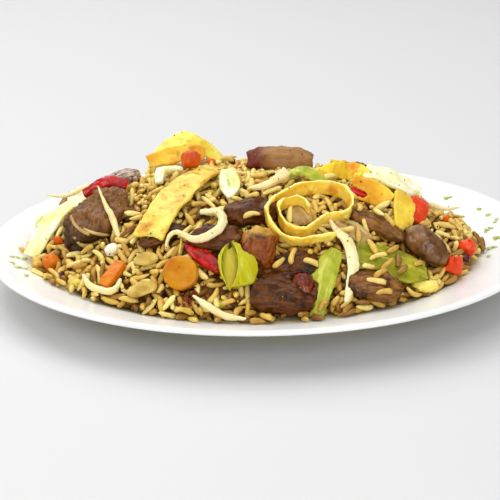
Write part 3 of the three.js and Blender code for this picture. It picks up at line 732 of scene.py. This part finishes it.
def meat_finish(name, light, dark, crust_and_highlight, crust_and_highlight_start, wet, end=None):
    """Browned meat: pale fibres in darker flesh, crusted patches, which on the sliced kind are whitish
    painted highlights, dark specks and a wet glaze.
    """
    material, tree, shader = moist_finish(
        name, shine=0.18, coat=(wet, 0.16), glow=0.12, depth=2, tint=(1, 0.45, 0.3)
    )
    fibre = pattern_in(tree, streaks, Scale=620, Stretch=(0.12, 1, 1))["Streak"]
    flesh = mixed(tree, share_of(tree, fibre, 0.4, 0.6), colour(*dark), colour(*light))
    if end:
        shade, axis, start, stop = end
        flesh = pattern_in(
            tree, one_end, Base=flesh, End=colour(*shade), Axis=axis, Start=start, Stop=stop
        )["Colour"]
    # Crusted patches; on the sliced kind they are whitish painted highlights.
    browned = pattern_in(tree, spots, Base=flesh, Spots=colour(*crust_and_highlight), Scale=95, Start=crust_and_highlight_start, Softness=0.1)
    specks = pattern_in(
        tree, spots, Base=browned["Colour"], Spots=colour(40, 22, 8), Scale=760, Start=0.66, Softness=0.06
    )
    tree.links.new(sum_of(tree, fibre, 0.7, 0.08), shader.inputs["Roughness"])
    cover(tree, shader, specks["Colour"], fibre, 0.7, 0.5 * MM)
    return material


# Each kind of meat: the light and dark of its flesh, its crust (whitish painted highlights on the sliced
# kind), where the crust starts, its glaze.
MEATS = {
    "pork": ((168, 124, 72), (152, 108, 58), (108, 64, 28), 0.58, 0.12),
    "browned": ((150, 100, 40), (90, 50, 12), (64, 32, 4), 0.54, 0.2),
    "tender": ((142, 94, 42), (100, 60, 22), (74, 38, 8), 0.55, 0.15),
    "glazed": ((140, 44, 14), (74, 24, 8), (176, 96, 44), 0.62, 0.4),
    "sliced": ((196, 164, 138), (52, 24, 14), (246, 240, 230), 0.55, 1),
    "beef": ((112, 60, 12), (56, 26, 2), (30, 14, 0), 0.54, 0.1),
    "cube": ((150, 78, 14), (106, 46, 4), (80, 28, 2), 0.56, 0.1),
}
LEVEL, UPRIGHT = (1, 0, 0), (0, 0, 1)
UP_THE_SLOPE = (0.3, 0.35, 0.9)
# Each piece: its kind, its slot, and the depth of its lumps and of its fibres.
MEAT_PIECES = {
    "meat_left": ("tender", "meat", 1.7, 0.6),
    "meat_back_left": ("sliced", "meat", 1.2, 0.2),
    "meat_top": ("pork", "meat", 0.6, 0),
    "meat_middle": ("beef", "dark_meat", 1.5, 0.35),
    "meat_under_sprout": ("beef", "dark_meat", 1.3, 0.2),
    "meat_centre": ("cube", "meat", 1.6, 0),
    "meat_under_strip": ("beef", "meat", 1, 0.2),
    "meat_front_upper": ("beef", "dark_meat", 1.5, 0.3),
    "meat_front_red": ("glazed", "meat", 1.2, 0),
    "meat_front_lower": ("beef", "dark_meat", 1.6, 0.3),
    "meat_front_right": ("browned", "meat", 1.4, 0.3),
    "meat_strip_right": ("browned", "dark_meat", 1.2, 0.45),
    "meat_back": ("pork", "meat", 1.2, 0.2),
    "meat_back_right": ("browned", "dark_meat", 1.3, 0.3),
}
# Three have one end in another shade, which starts and is full at these shares of their size.
# The big piece at the left darkens towards its lower end: painted shade.
MEAT_ENDS = {
    "meat_left": ((58, 32, 8), UPRIGHT, 0.72, 0.4),
    "meat_top": ((104, 36, 14), LEVEL, 0.5, 0.26),
    "meat_centre": ((206, 164, 70), UPRIGHT, 0.92, 1.15),
}
for seed, (node, (kind, body_slot, depth, fibres)) in enumerate(MEAT_PIECES.items(), 20):
    end = None
    if node in MEAT_ENDS:
        shade, axis, start, stop = MEAT_ENDS[node]
        low, high = (corner.dot(Vector(axis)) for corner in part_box(node))
        end = (shade, axis, low + (high - low) * start, low + (high - low) * stop)
    finish = meat_finish(node + "_" + kind, *MEATS[kind], end)
    run = UP_THE_SLOPE if node == "meat_left" else None
    cook(
        node, "_cut", finish,
        voxel=0.7, smoothing=4, depth=depth, lump=4.5, seed=seed, fibres=fibres, run=run,
    )

# Mushrooms: one whole small cap, brown and shiny from the pan, and two pale slices cut across.
# They shrink and wrinkle as they fry, and the slices curl at their edges.


def smooth_food(name, light, dark, patches, fine, roughness=0.35, coat=0.3, glow=0.3, depth=2.5):
    """Soft, moist food in two shades of one colour, with a faint skin and light that sinks in."""
    material, tree, shader = moist_finish(
        name, shine=0.2, coat=(coat * 0.45, 0.1), glow=glow, depth=depth, tint=(1, 0.6, 0.25),
        Roughness=roughness,
    )
    shades = pattern_in(tree, mottle, Light=colour(*light), Dark=colour(*dark), Scale=patches, Softness=0.32)
    cover(tree, shader, shades["Colour"], pattern_in(tree, skin, Scale=fine)["Height"], 0.25, 0.4 * MM)
    return material


cap_skin = smooth_food("mushroom_cap", (138, 92, 44), (68, 38, 10), 140, 700, 0.3, coat=1, glow=0.1)
slice_flesh = smooth_food("mushroom_slice", (218, 190, 96), (176, 140, 52), 160, 800, coat=0.2)
for seed, (node, material, body_slot) in enumerate([
    ("mushroom_right", cap_skin, "mushroom"),
    ("mushroom_slice_upper", slice_flesh, "pale_mushroom"),
    ("mushroom_slice_lower", slice_flesh, "pale_mushroom"),
], 40):
    cook(node, "_fried", material, voxel=0.6, smoothing=22, depth=0.7, lump=6, seed=seed)

# Carrot, peeled and cut into a round slice, a baton and small dice, cooked until just soft.
# The round slice stands on its edge in the rice, so its cut face shows.
CARROT_RADIUS = 8.1 * MM
CARROT_THICKNESS = 5.2 * MM
carrot_yellow = smooth_food("carrot_slice", (204, 142, 2), (188, 108, 0), 90, 900, glow=0.25)
carrot_light = smooth_food("carrot_light", (216, 132, 20), (206, 96, 6), 150, 900, coat=0.25)
carrot_orange = smooth_food("carrot_orange", (216, 98, 4), (194, 70, 2), 110, 900, coat=0.25)


def through(node):
    """The middle of a solid, and the direction in which it is thinnest, as it faces up."""
    corners = np.array([tuple(v.co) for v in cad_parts[node].data.vertices])
    middle = (corners.min(axis=0) + corners.max(axis=0)) / 2
    _, axes = np.linalg.eigh(np.cov((corners - corners.mean(axis=0)).T))
    thin = Vector(axes[:, 0])
    return Vector(middle), thin if thin.z > 0 else -thin


middle, thin = through("carrot_slice")
bpy.ops.object.select_all(action="DESELECT")
bpy.ops.mesh.primitive_cylinder_add(
    vertices=40,
    radius=CARROT_RADIUS,
    depth=CARROT_THICKNESS,
    location=middle,
    rotation=thin.to_track_quat("Z", "Y").to_euler(),
)
carrot_slice = bpy.context.object
carrot_slice.name = "carrot_slice_cooked"
bpy.ops.object.transform_apply(location=True, rotation=True, scale=True)
finish_with(carrot_slice, "BEVEL", width=0.9 * MM, segments=3, limit_method="ANGLE")
finish_with(carrot_slice, "REMESH", mode="VOXEL", voxel_size=0.5 * MM)
finish_with(carrot_slice, "SMOOTH", factor=0.5, iterations=5)
roughen(carrot_slice, 0.6 * MM, 5 * MM, 49)
wear(carrot_slice, carrot_yellow, "carrot_slice")
CARROT_PIECES = {
    "carrot_baton": carrot_light,
    "carrot_dice_top": carrot_orange,
    "carrot_dice_left": carrot_light,
    "carrot_dice_back": carrot_orange,
}
for seed, (node, material) in enumerate(CARROT_PIECES.items(), 50):
    cook(node, "_cooked", material, voxel=0.55, smoothing=7, depth=0.3, lump=3, seed=seed)

# Red pepper, in strips and small squares. Its skin is smooth, and it shines with oil.
# Frying has softened it, so that the strips bend over what they lie on.
pepper_skin = smooth_food("pepper_skin", (200, 10, 2), (140, 2, 0), 110, 500, 0.24, coat=0.7, glow=0.2)
pepper_dice = smooth_food("pepper_dice", (238, 88, 14), (210, 36, 4), 150, 600, 0.28, coat=0.4)
ORANGE_RED = ("pepper_dice_right", "pepper_dice_front", "pepper_right")
for seed, node in enumerate(named("pepper"), 60):
    material = pepper_dice if node in ORANGE_RED else pepper_skin
    cook(node, "_glossy", material, voxel=0.55, smoothing=7, depth=0.4, lump=3.5, seed=seed)

# Leek and spring onion, cut across. The leaves are thin and limp, with fine veins along them.
# The slice from lower down the stem is white, with a green edge.


def leaf_finish(name, light, dark, vein, veins=420):
    """A thin green leaf: two greens in long streaks, paler veins and light that shines through."""
    material, tree, shader = moist_finish(
        name, shine=0.2, coat=(0.14, 0.12), glow=0.5, depth=3, tint=(0.9, 1, 0.3), Roughness=0.34
    )
    greens = pattern_in(tree, mottle, Light=colour(*light), Dark=colour(*dark), Scale=90, Softness=0.28)
    streak = pattern_in(tree, streaks, Scale=veins, Stretch=(0.07, 1, 1))["Streak"]
    veined = mixed(tree, share_of(tree, streak, 0.5, 0.66), greens["Colour"], colour(*vein))
    cover(tree, shader, veined, streak, 0.5, 0.5 * MM)
    return material


leaf_green = leaf_finish("leek_leaf", (168, 164, 30), (116, 120, 10), (196, 190, 70))
pale_leek = leaf_finish("leek_pale", (246, 248, 204), (190, 204, 58), (252, 252, 226), veins=500)
bright_leek = leaf_finish("leek_bright", (192, 196, 62), (146, 156, 22), (214, 214, 96))
LEEK_PIECES = {
    "leek_leaf_right": leaf_green,
    "leek_front": bright_leek,
    "leek_top": bright_leek,
    "leek_slice_top": pale_leek,
    "leek_ring_left": pale_leek,
    "leek_back": leaf_green,
}
for seed, (node, material) in enumerate(LEEK_PIECES.items(), 70):
    cook(node, "_leaf", material, voxel=0.5, smoothing=9, depth=0.3, lump=5, seed=seed, fibres=0.1)

# One slice of spring onion is folded into a cup with a point at its top. Its left side is a pale
# hollow inside a thin dark-green edge, and its right side bulges out, bright lime and shiny.
CUP_HOLLOW_MIDDLE = -3.7 * MM
CUP_HOLLOW_HALF_WIDTH = 4.2 * MM
CUP_HOLLOW_HALF_HEIGHT = 12.5 * MM
CUP_HOLLOW_SLOPE = 0.5
CUP_POINT = 2.2
CUP_DEPTH = 3.2 * MM
CUP_BULGE = 2.2 * MM
CUP_BULGE_X, CUP_BULGE_Y = 3.6 * MM, -2 * MM
CUP_BULGE_HALF_WIDTH, CUP_BULGE_HALF_HEIGHT = 5 * MM, 10 * MM
leek_cup = soft_copy("leek_cup_front", "leek_cup_front_leaf", 0.4 * MM, 12)
mark_lengthwise(leek_cup)
places = points_of(leek_cup)
middle, out = through("leek_cup_front")
out = Vector((out.x, -abs(out.y), out.z)).normalized()
level = Vector((0, 0, 1)).cross(out).normalized()
upward = out.cross(level)
own_x = (places - np.array(middle)) @ np.array(level)
own_y = (places - np.array(middle)) @ np.array(upward)
narrowing = np.clip(1 - np.abs(own_y / CUP_HOLLOW_HALF_HEIGHT) ** CUP_POINT, 0.04, 1)
from_hollow = np.abs(own_x - CUP_HOLLOW_MIDDLE) / (CUP_HOLLOW_HALF_WIDTH * narrowing)
sunk = np.clip((1 - from_hollow) / CUP_HOLLOW_SLOPE, 0, 1)
sunk = sunk * sunk * (3 - 2 * sunk)
bulge_x = (own_x - CUP_BULGE_X) / CUP_BULGE_HALF_WIDTH
bulge_y = (own_y - CUP_BULGE_Y) / CUP_BULGE_HALF_HEIGHT
bulge = np.clip(1 - np.hypot(bulge_x, bulge_y) ** 2, 0, 1)
shift = CUP_BULGE * bulge * (1 - sunk) - CUP_DEPTH * sunk
set_points(leek_cup, places + shift[:, None] * np.array(out))
hollow = leek_cup.data.attributes.new("hollow", "FLOAT", "POINT")
hollow.data.foreach_set("value", from_hollow)
cup_finish, tree, shader = moist_finish(
    "leek_cup", shine=0.18, coat=(0.12, 0.08), glow=0.4, depth=2.5, tint=(0.9, 1, 0.3), Roughness=0.3
)
streak = pattern_in(tree, streaks, Scale=420, Stretch=(0.07, 1, 1))["Streak"]
distance = add(tree, "ShaderNodeAttribute", attribute_name="hollow").outputs["Fac"]
edge = add(tree, "ShaderNodeValToRGB", {"Fac": distance})
edge.color_ramp.elements[0].position, edge.color_ramp.elements[0].color = 0.2, colour(196, 176, 56)
edge.color_ramp.elements[1].position, edge.color_ramp.elements[1].color = 1, colour(178, 172, 4)
CUP_RIM = {0.62: (182, 166, 40), 0.8: (120, 128, 12), 0.86: (84, 100, 6), 0.93: (226, 222, 96)}
for place, shade in CUP_RIM.items():
    edge.color_ramp.elements.new(place).color = colour(*shade)
veined = mixed(tree, share_of(tree, streak, 0.52, 0.7), edge.outputs["Color"], colour(206, 204, 40))
cover(tree, shader, veined, streak, 0.3, 0.4 * MM)
wear(leek_cup, cup_finish, "leek_cup_front")

# Onion, fried until it is limp and clear, with a long pale strip at the left end of the heap.
# Its layers come apart in the pan, so each piece is one thin curved layer.
onion_clear = leaf_finish("onion_clear", (196, 164, 98), (148, 112, 52), (216, 192, 134), veins=340)
onion_pale = leaf_finish("onion_pale", (254, 250, 204), (232, 230, 130), (255, 254, 234), veins=300)
for seed, node in enumerate(named("onion"), 80):
    material = onion_pale if "left" in node else onion_clear
    cook(node, "_limp", material, voxel=0.5, smoothing=9, depth=0.3, lump=5, seed=seed, fibres=0.08)

# Omelette, fried thin and cut into ribbons. Its faces are yellow with golden-brown marks from
# the pan, its cut edges are paler, and the ribbons are folded, rolled up and laid over the heap.


def omelette_finish(name, light, dark, toast, toasted, cut_edge=None, way=(0, 0, 1)):
    """Thin fried egg: yellow in two shades, golden marks from the pan, and paler cut edges."""
    material, tree, shader = moist_finish(
        name, shine=0.25, coat=(0.12, 0.2), glow=0.5, depth=3.5, tint=(1, 0.75, 0.2), Roughness=0.42
    )
    yellow = pattern_in(tree, mottle, Light=colour(*light), Dark=colour(*dark), Scale=70, Softness=0.24)
    marks = pattern_in(
        tree, spots, Base=yellow["Colour"], Spots=colour(*toast), Scale=130, Start=toasted, Softness=0.14
    )
    base = marks["Colour"]
    if cut_edge:
        facing = add(tree, "ShaderNodeNewGeometry").outputs["Normal"]
        turned = add(tree, "ShaderNodeVectorMath", {0: facing, 1: way}, operation="DOT_PRODUCT")
        base = mixed(tree, share_of(tree, turned.outputs["Value"], 0.55, 0.85), base, colour(*cut_edge))
    cover(tree, shader, base, pattern_in(tree, skin, Scale=480)["Height"], 0.4, 0.6 * MM)
    return material


EDGE_RIGHT = (0.85, -0.1, -0.25)
# Each ribbon: its kind, the light and dark of its yellow, its pan marks, where they start, and for
# two of them the pale of their cut edge. The flap's cut edge is at its right.
OMELETTE_PIECES = {
    "omelette_strip": ("lemon", (248, 222, 102), (230, 188, 64), (208, 146, 38), 0.49),
    "omelette_ring": ("ring", (250, 222, 98), (236, 192, 54), (216, 156, 36), 0.53, (250, 236, 146)),
    "omelette_band_left": ("toasted", (238, 194, 54), (222, 160, 26), (198, 116, 10), 0.53),
    "omelette_loop_left": ("loop", (250, 236, 118), (240, 212, 66), (226, 176, 44), 0.56),
    "omelette_fold_back": ("bright", (253, 232, 84), (246, 204, 44), (230, 148, 26), 0.53),
    # The right band's deeper orange is painted shade on the face that turns down to the front, and the right
    # sheet's near-white cream is painted light, as the thin sheet lets light through.
    "omelette_band_right": ("orange", (244, 206, 62), (230, 168, 30), (206, 124, 12), 0.54),
    "omelette_sheet_right": ("pale", (254, 249, 216), (251, 240, 178), (246, 216, 112), 0.58),
    "omelette_flap_right": (
        "flap", (242, 210, 70), (226, 180, 42), (206, 138, 24), 0.55, (254, 240, 190), EDGE_RIGHT
    ),
    "omelette_back": ("golden", (234, 196, 44), (222, 172, 24), (206, 132, 12), 0.54),
}
for seed, (node, (kind, *shades)) in enumerate(OMELETTE_PIECES.items(), 90):
    material = omelette_finish("omelette_" + kind, *shades)
    cook(node, "_ribbon", material, voxel=0.5, smoothing=10, depth=0.7, lump=6, seed=seed)

# Bean sprouts: juicy white stems with thin golden root ends, tossed in at the end of the frying.
# They are thickest at the head, and bend freely.
sprout_white = smooth_food("sprout_stem", (248, 238, 196), (232, 212, 146), 60, 600, glow=0.6, depth=3)
for seed, node in enumerate(named("sprout"), 110):
    cook(node, "_stem", sprout_white, voxel=0.45, smoothing=8, depth=0.25, lump=3, seed=seed)

# Small bits of egg, carrot, leek and fruit, cut or broken small, lie loose in the rice.
# Each is given as its name, its finish, its place on the heap, the share of its height that is
# sunk in the rice, its size and its turn in degrees.
dark_fruit = smooth_food("dark_fruit", (96, 24, 26), (58, 12, 18), 160, 700, coat=0.8, glow=0.1)
green_bit = smooth_food("green_bit", (190, 196, 70), (140, 152, 30), 160, 800, coat=0.3, glow=0.4)
egg_curd = omelette_finish("egg_curd", (255, 242, 148), (246, 218, 84), (222, 176, 60), 0.6)
egg_white = omelette_finish("egg_white", (255, 250, 226), (250, 236, 190), (236, 206, 140), 0.62)
egg_lump = omelette_finish("egg_lump", (226, 206, 98), (200, 170, 58), (180, 150, 50), 0.6)
BIT_TILT = (0.15, 0.1)
BIT_DENTS, BIT_DENT_WIDTH = 0.12, 0.6
ABOVE_ALL = 0.2
BITS = [
    ("egg_lump", egg_lump, (-87, -54), 0.25, (12, 9, 8), 0),
    ("egg_curd_right", egg_curd, (74, -60), 0.1, (18, 11, 8), 20),
    ("carrot_bit_top", carrot_orange, (-25, 17), 0.3, (6, 6, 5.5), 10),
    ("carrot_bit_right", carrot_orange, (89, -11), 0.3, (6, 4.5, 5), 0),
    ("carrot_bit_left", carrot_orange, (-99, -21), 0.3, (7, 5, 4.5), 0),
    ("green_bit_top", green_bit, (-62, 19), 0.3, (6, 6, 10), 0),
    ("green_bit_front", green_bit, (-21, -81), 0.2, (7, 8, 4), 30),
    ("leek_petal_left", pale_leek, (-97, 18), 0.35, (9, 4, 13), 0),
    ("egg_white_bit", egg_white, (-71, -46), -0.1, (10, 6, 8), 30),
    ("fruit_bit_right", dark_fruit, (96, -31), 0.3, (6, 7, 4.5), 0),
    ("green_bit_back", green_bit, (60, 58), 0.35, (11, 6, 5), 30),
    ("carrot_bit_back", carrot_orange, (-78, 44), 0.35, (9, 8, 6), 10),
    ("fruit_bit_left", dark_fruit, (-96, -43), -0.1, (5, 6, 6), 20),
    ("pepper_bit_top", pepper_dice, (-12, 22), -0.1, (5, 4, 4), 20),
    ("egg_bit_front", egg_curd, (-4, -87), 0, (9, 4, 4), 0),
]
rice_solid, _, _ = joined_tree("rice")


def ground_at(x, y):
    """The height of the rice at a place given in millimetres, or of the plate beside it."""
    found = rice_solid.ray_cast(Vector((x * MM, y * MM, ABOVE_ALL)), Vector((0, 0, -1)))[0]
    return found.z if found else float(plate_top(math.hypot(x, y) * MM))


for seed, (name, material, (x, y), sunk, size, turn) in enumerate(BITS, 130):
    bpy.ops.object.select_all(action="DESELECT")
    bpy.ops.mesh.primitive_cube_add(
        size=1,
        location=(x * MM, y * MM, ground_at(x, y) - size[2] * MM * sunk),
        rotation=(*BIT_TILT, math.radians(turn)),
        scale=[side * MM for side in size],
    )
    bit = bpy.context.object
    bit.name = name
    bpy.ops.object.transform_apply(location=True, rotation=True, scale=True)
    finish_with(bit, "SUBSURF", levels=1, render_levels=1)
    finish_with(bit, "REMESH", mode="VOXEL", voxel_size=0.45 * MM)
    roughen(bit, min(size) * BIT_DENTS * MM, min(size) * BIT_DENT_WIDTH * MM, seed)
    wear(bit, material, "rice")

# Thin stalks and strips: root ends of sprouts, a dark stalk and a strip of brown onion lie loose
# between the grains, drawn through places on the heap. Pale shreds of onion hang down the front
# of the big piece of meat at the left.
brown_onion = smooth_food("onion_brown", (168, 106, 44), (104, 56, 16), 160, 700, glow=0.1)
THREADS = [
    ("stalk_dark", cap_skin, [(-30, -31, 2), (-30, -37, 3), (-30.5, -43, 2)], 0.7),
    ("stalk_golden", egg_lump, [(-38, -55, 4), (-38.5, -60, 5), (-39, -64, 4.6)], 0.6),
    ("strip_brown", brown_onion, [(-71, -44, 2), (-66, -43.5, 3.4), (-60, -42, 3)], 0.9),
]
SHREDS = {
    "shred_upper": [(-85, 38), (-80, 36.5), (-75, 35.5), (-70, 31)],
    "shred_lower": [(-87, 30.5), (-83, 28.5), (-78, 28.2), (-72.5, 31)],
    "shred_left": [(-92, 41), (-89, 37), (-82.5, 36.5)],
    "shred_bottom": [(-90, 34), (-87, 27.5), (-81, 26)],
}
IN_FRONT, TOWARDS_MEAT = -0.2, 0.17
SHRED_LIFT = 2 * MM
SHRED_RADIUS = 0.8


def front_of_meat(x, height):
    """Where the big piece of meat at the left faces the front, at a place in millimetres."""
    start = Vector((x * MM, IN_FRONT, height * MM))
    found = big_meat.ray_cast(start, Vector((0, 1, 0)))[0]
    return found if found else big_meat.find_nearest(start + Vector((0, TOWARDS_MEAT, 0)))[0]


def draw_thread(name, route, radius, material, node):
    """Makes a round thread through the places of a route."""
    line_data = bpy.data.curves.new(name, "CURVE")
    line_data.dimensions = "3D"
    line_data.bevel_depth = radius * MM
    line_data.bevel_resolution = 2
    line_data.resolution_u = 8
    spline = line_data.splines.new("NURBS")
    spline.points.add(len(route) - 1)
    spline.use_endpoint_u = True
    for point, place in zip(spline.points, route):
        point.co = (*place, 1)
    line_data.use_fill_caps = True
    pick(new_piece(name, line_data))
    bpy.ops.object.convert(target="MESH")
    piece = bpy.context.object
    mark_lengthwise(piece)
    wear(piece, material, node)


for name, material, route, radius in THREADS:
    places = [(x * MM, y * MM, ground_at(x, y) + lift * MM) for x, y, lift in route]
    draw_thread(name, places, radius, material, "rice")
big_meat, _, _ = joined_tree("meat_left")
for name, route in SHREDS.items():
    places = [front_of_meat(x, height) - Vector((0, SHRED_LIFT, 0)) for x, height in route]
    draw_thread(name, places, SHRED_RADIUS, onion_clear, "meat_left")

# Crumbs of fried onion, egg and spice cling to the grains, and flecks of herb lie over all of it.
# The frying oil holds them. A small pile of red-brown crumbs lies under the carrot slice.
CRUMB = 1.3 * MM
CRUMB_WIDTHS, CRUMB_DEPTHS, CRUMB_DENTS = (0.5, 1.2), (0.4, 0.9), 0.3
ON_TOP = 0.2 * MM
PILE_MIDDLE, PILE_SPREAD, PILE_COUNT = (-33.5, -79), (3, 2), 44
UPWARD = (0.0, 0.0, 1.0)
topping_places, topping_ways = spread_over(*topping_skins, number=420, steepest=0.1)
rice_places, rice_ways = spread_over(*heap, number=1500, steepest=0)


def crumb_form():
    """A crumb of twenty faces, two units across."""
    bpy.ops.object.select_all(action="DESELECT")
    bpy.ops.mesh.primitive_ico_sphere_add(subdivisions=1, radius=1)
    return taken_apart(bpy.context.object)


def scatter(name, places, ways, size, flatness, lift, material):
    """Makes one mesh of many crumbs or flecks, each with its own size, turn and dents."""
    form, form_faces = crumb_form()
    corners, faces = [], []
    for place, up in zip(places, ways):
        side = np.cross(up, dice.normal(size=3))
        side /= np.linalg.norm(side)
        other = np.cross(up, side)
        wide, deep = size * dice.uniform(*CRUMB_WIDTHS) / 2, size * dice.uniform(*CRUMB_DEPTHS) / 2
        high = min(wide, deep) * flatness
        own = form * (1 + dice.uniform(-CRUMB_DENTS, CRUMB_DENTS, (len(form), 1))) * (wide, deep, high)
        start = len(corners) * len(form)
        corners.append(place + up * lift + own @ np.array([side, other, up]))
        faces += [[start + i for i in face] for face in form_faces]
    add_to_rice(name, corners, faces, material)


crumb_brown = smooth_food("crumb_brown", (150, 76, 22), (96, 40, 10), 900, 1500, 0.5, coat=0, glow=0)
crumb_red = smooth_food("crumb_red", (150, 60, 20), (92, 24, 8), 500, 1500, 0.5, coat=0.2, glow=0)
crumb_gold = smooth_food("crumb_gold", (236, 198, 92), (204, 150, 42), 900, 1500, 0.5, coat=0, glow=0.2)
crumb_dark = smooth_food("crumb_dark", (70, 36, 14), (40, 20, 8), 900, 1500, 0.5, coat=0, glow=0)
herb_green = smooth_food("herb_green", (172, 186, 84), (118, 138, 40), 900, 1500, 0.5, coat=0, glow=0.2)
for name, part, size, flatness, lift, material in [
    ("crumbs_brown", slice(0, 420), CRUMB, 0.9, 0.9 * MM, crumb_brown),
    ("crumbs_gold", slice(420, 1100), CRUMB, 0.9, 0.8 * MM, crumb_gold),
    ("crumbs_dark", slice(1100, 1300), 0.8 * CRUMB, 0.9, 1 * MM, crumb_dark),
    ("herb_on_rice", slice(1300, 1500), CRUMB, 0.4, 1.2 * MM, herb_green),
]:
    scatter(name, rice_places[part], rice_ways[part], size, flatness, lift, material)
pile = dice.normal(PILE_MIDDLE, PILE_SPREAD, (PILE_COUNT, 2))
pile = np.array([(x * MM, y * MM, ground_at(x, y)) for x, y in pile])
scatter("crumbs_in_a_pile", pile, np.tile(UPWARD, (PILE_COUNT, 1)), 1.6 * CRUMB, 0.9, 2 * MM, crumb_red)
browned, specks, herbs = (slice(0, 110), slice(110, 230), slice(230, 420))
for name, part, size, flatness, material in [
    ("crumbs_on_toppings", browned, 0.8 * CRUMB, 0.6, crumb_brown),
    ("specks_on_toppings", specks, 0.5 * CRUMB, 0.6, crumb_dark),
    ("herb_on_toppings", herbs, 0.7 * CRUMB, 0.3, herb_green),
]:
    scatter(name, topping_places[part], topping_ways[part], size, flatness, ON_TOP, material)

# Chopped herb has fallen on the plate's rim, mostly at its right side, with a sprig at the left.
# Each fleck is given as its place on the plate and its length.
FLECK, FLECK_SPREAD = 4.3 * MM, 0.22
RIM_FLECKS = [
    (99, 71, 5), (113, 49, 4), (103, 44, 7), (101, 8, 7), (106, 14, 8), (112, 20, 6), (118, 27, 5),
    (112, -8, 6), (117, 5, 6), (108, -20, 3), (92, 66, 3), (121, -3, 3), (104, 30, 2), (116, 38, 2),
    (-117, -32, 7), (-121, -28, 4), (-122, -17, 5), (-118, -16, 6), (-117, 7, 2), (-112, -44, 2),
    (20, 104, 4), (-44, 99, 3), (70, 88, 4), (-98, 58, 3), (52, 97, 2),
]
fleck_places = []
for x, y, length in RIM_FLECKS:
    for _ in range(max(1, length // 2)):
        away = dice.normal(0, length * FLECK_SPREAD, 2)
        x_part, y_part = (x + away[0]) * MM, (y + away[1]) * MM
        fleck_places.append((x_part, y_part, plate_top(math.hypot(x_part, y_part))))
fleck_ways = np.tile(UPWARD, (len(fleck_places), 1))
herb_pale = smooth_food("herb_pale", (204, 214, 132), (168, 188, 86), 900, 1500, 0.5, coat=0, glow=0.3)
scatter("herb_on_rim", np.array(fleck_places), fleck_ways, FLECK, 0.25, 0.3 * MM, herb_pale)

# The plate stands on a plain pale floor, under soft studio light that is strongest from behind
# and above. The floor isn't part of the plate.
bpy.ops.mesh.primitive_plane_add(size=12)
floor = bpy.context.object
floor.name = "floor"
paint, tree, shader = new_finish("floor_paint", Base_Color=colour(211, 211, 212), Roughness=0.6)
floor.data.materials.append(paint)

world = bpy.data.worlds.new("studio")
bpy.context.scene.world = world
world.use_nodes = True
world.node_tree.nodes["Background"].inputs["Color"].default_value = (1, 0.99, 0.97, 1)
world.node_tree.nodes["Background"].inputs["Strength"].default_value = 0.36
for name, place, size, power in [
    ("light_behind", (-0.5, 0.95, 1.25), 1.3, 14),
    ("light_left", (-1.2, -0.2, 0.8), 0.7, 5),
    ("light_front", (0.3, -1.7, 0.5), 1.2, 15),
    ("light_above", (0.1, -0.2, 1.5), 1.6, 13),
]:
    bpy.ops.object.light_add(type="AREA", location=place)
    lamp = bpy.context.object
    lamp.name = name
    lamp.data.size = size
    lamp.data.energy = power
    lamp.rotation_euler = (Vector((0, 0, 0.03)) - Vector(place)).to_track_quat("-Z", "Y").to_euler()
bpy.context.scene.view_settings.view_transform = "Standard"
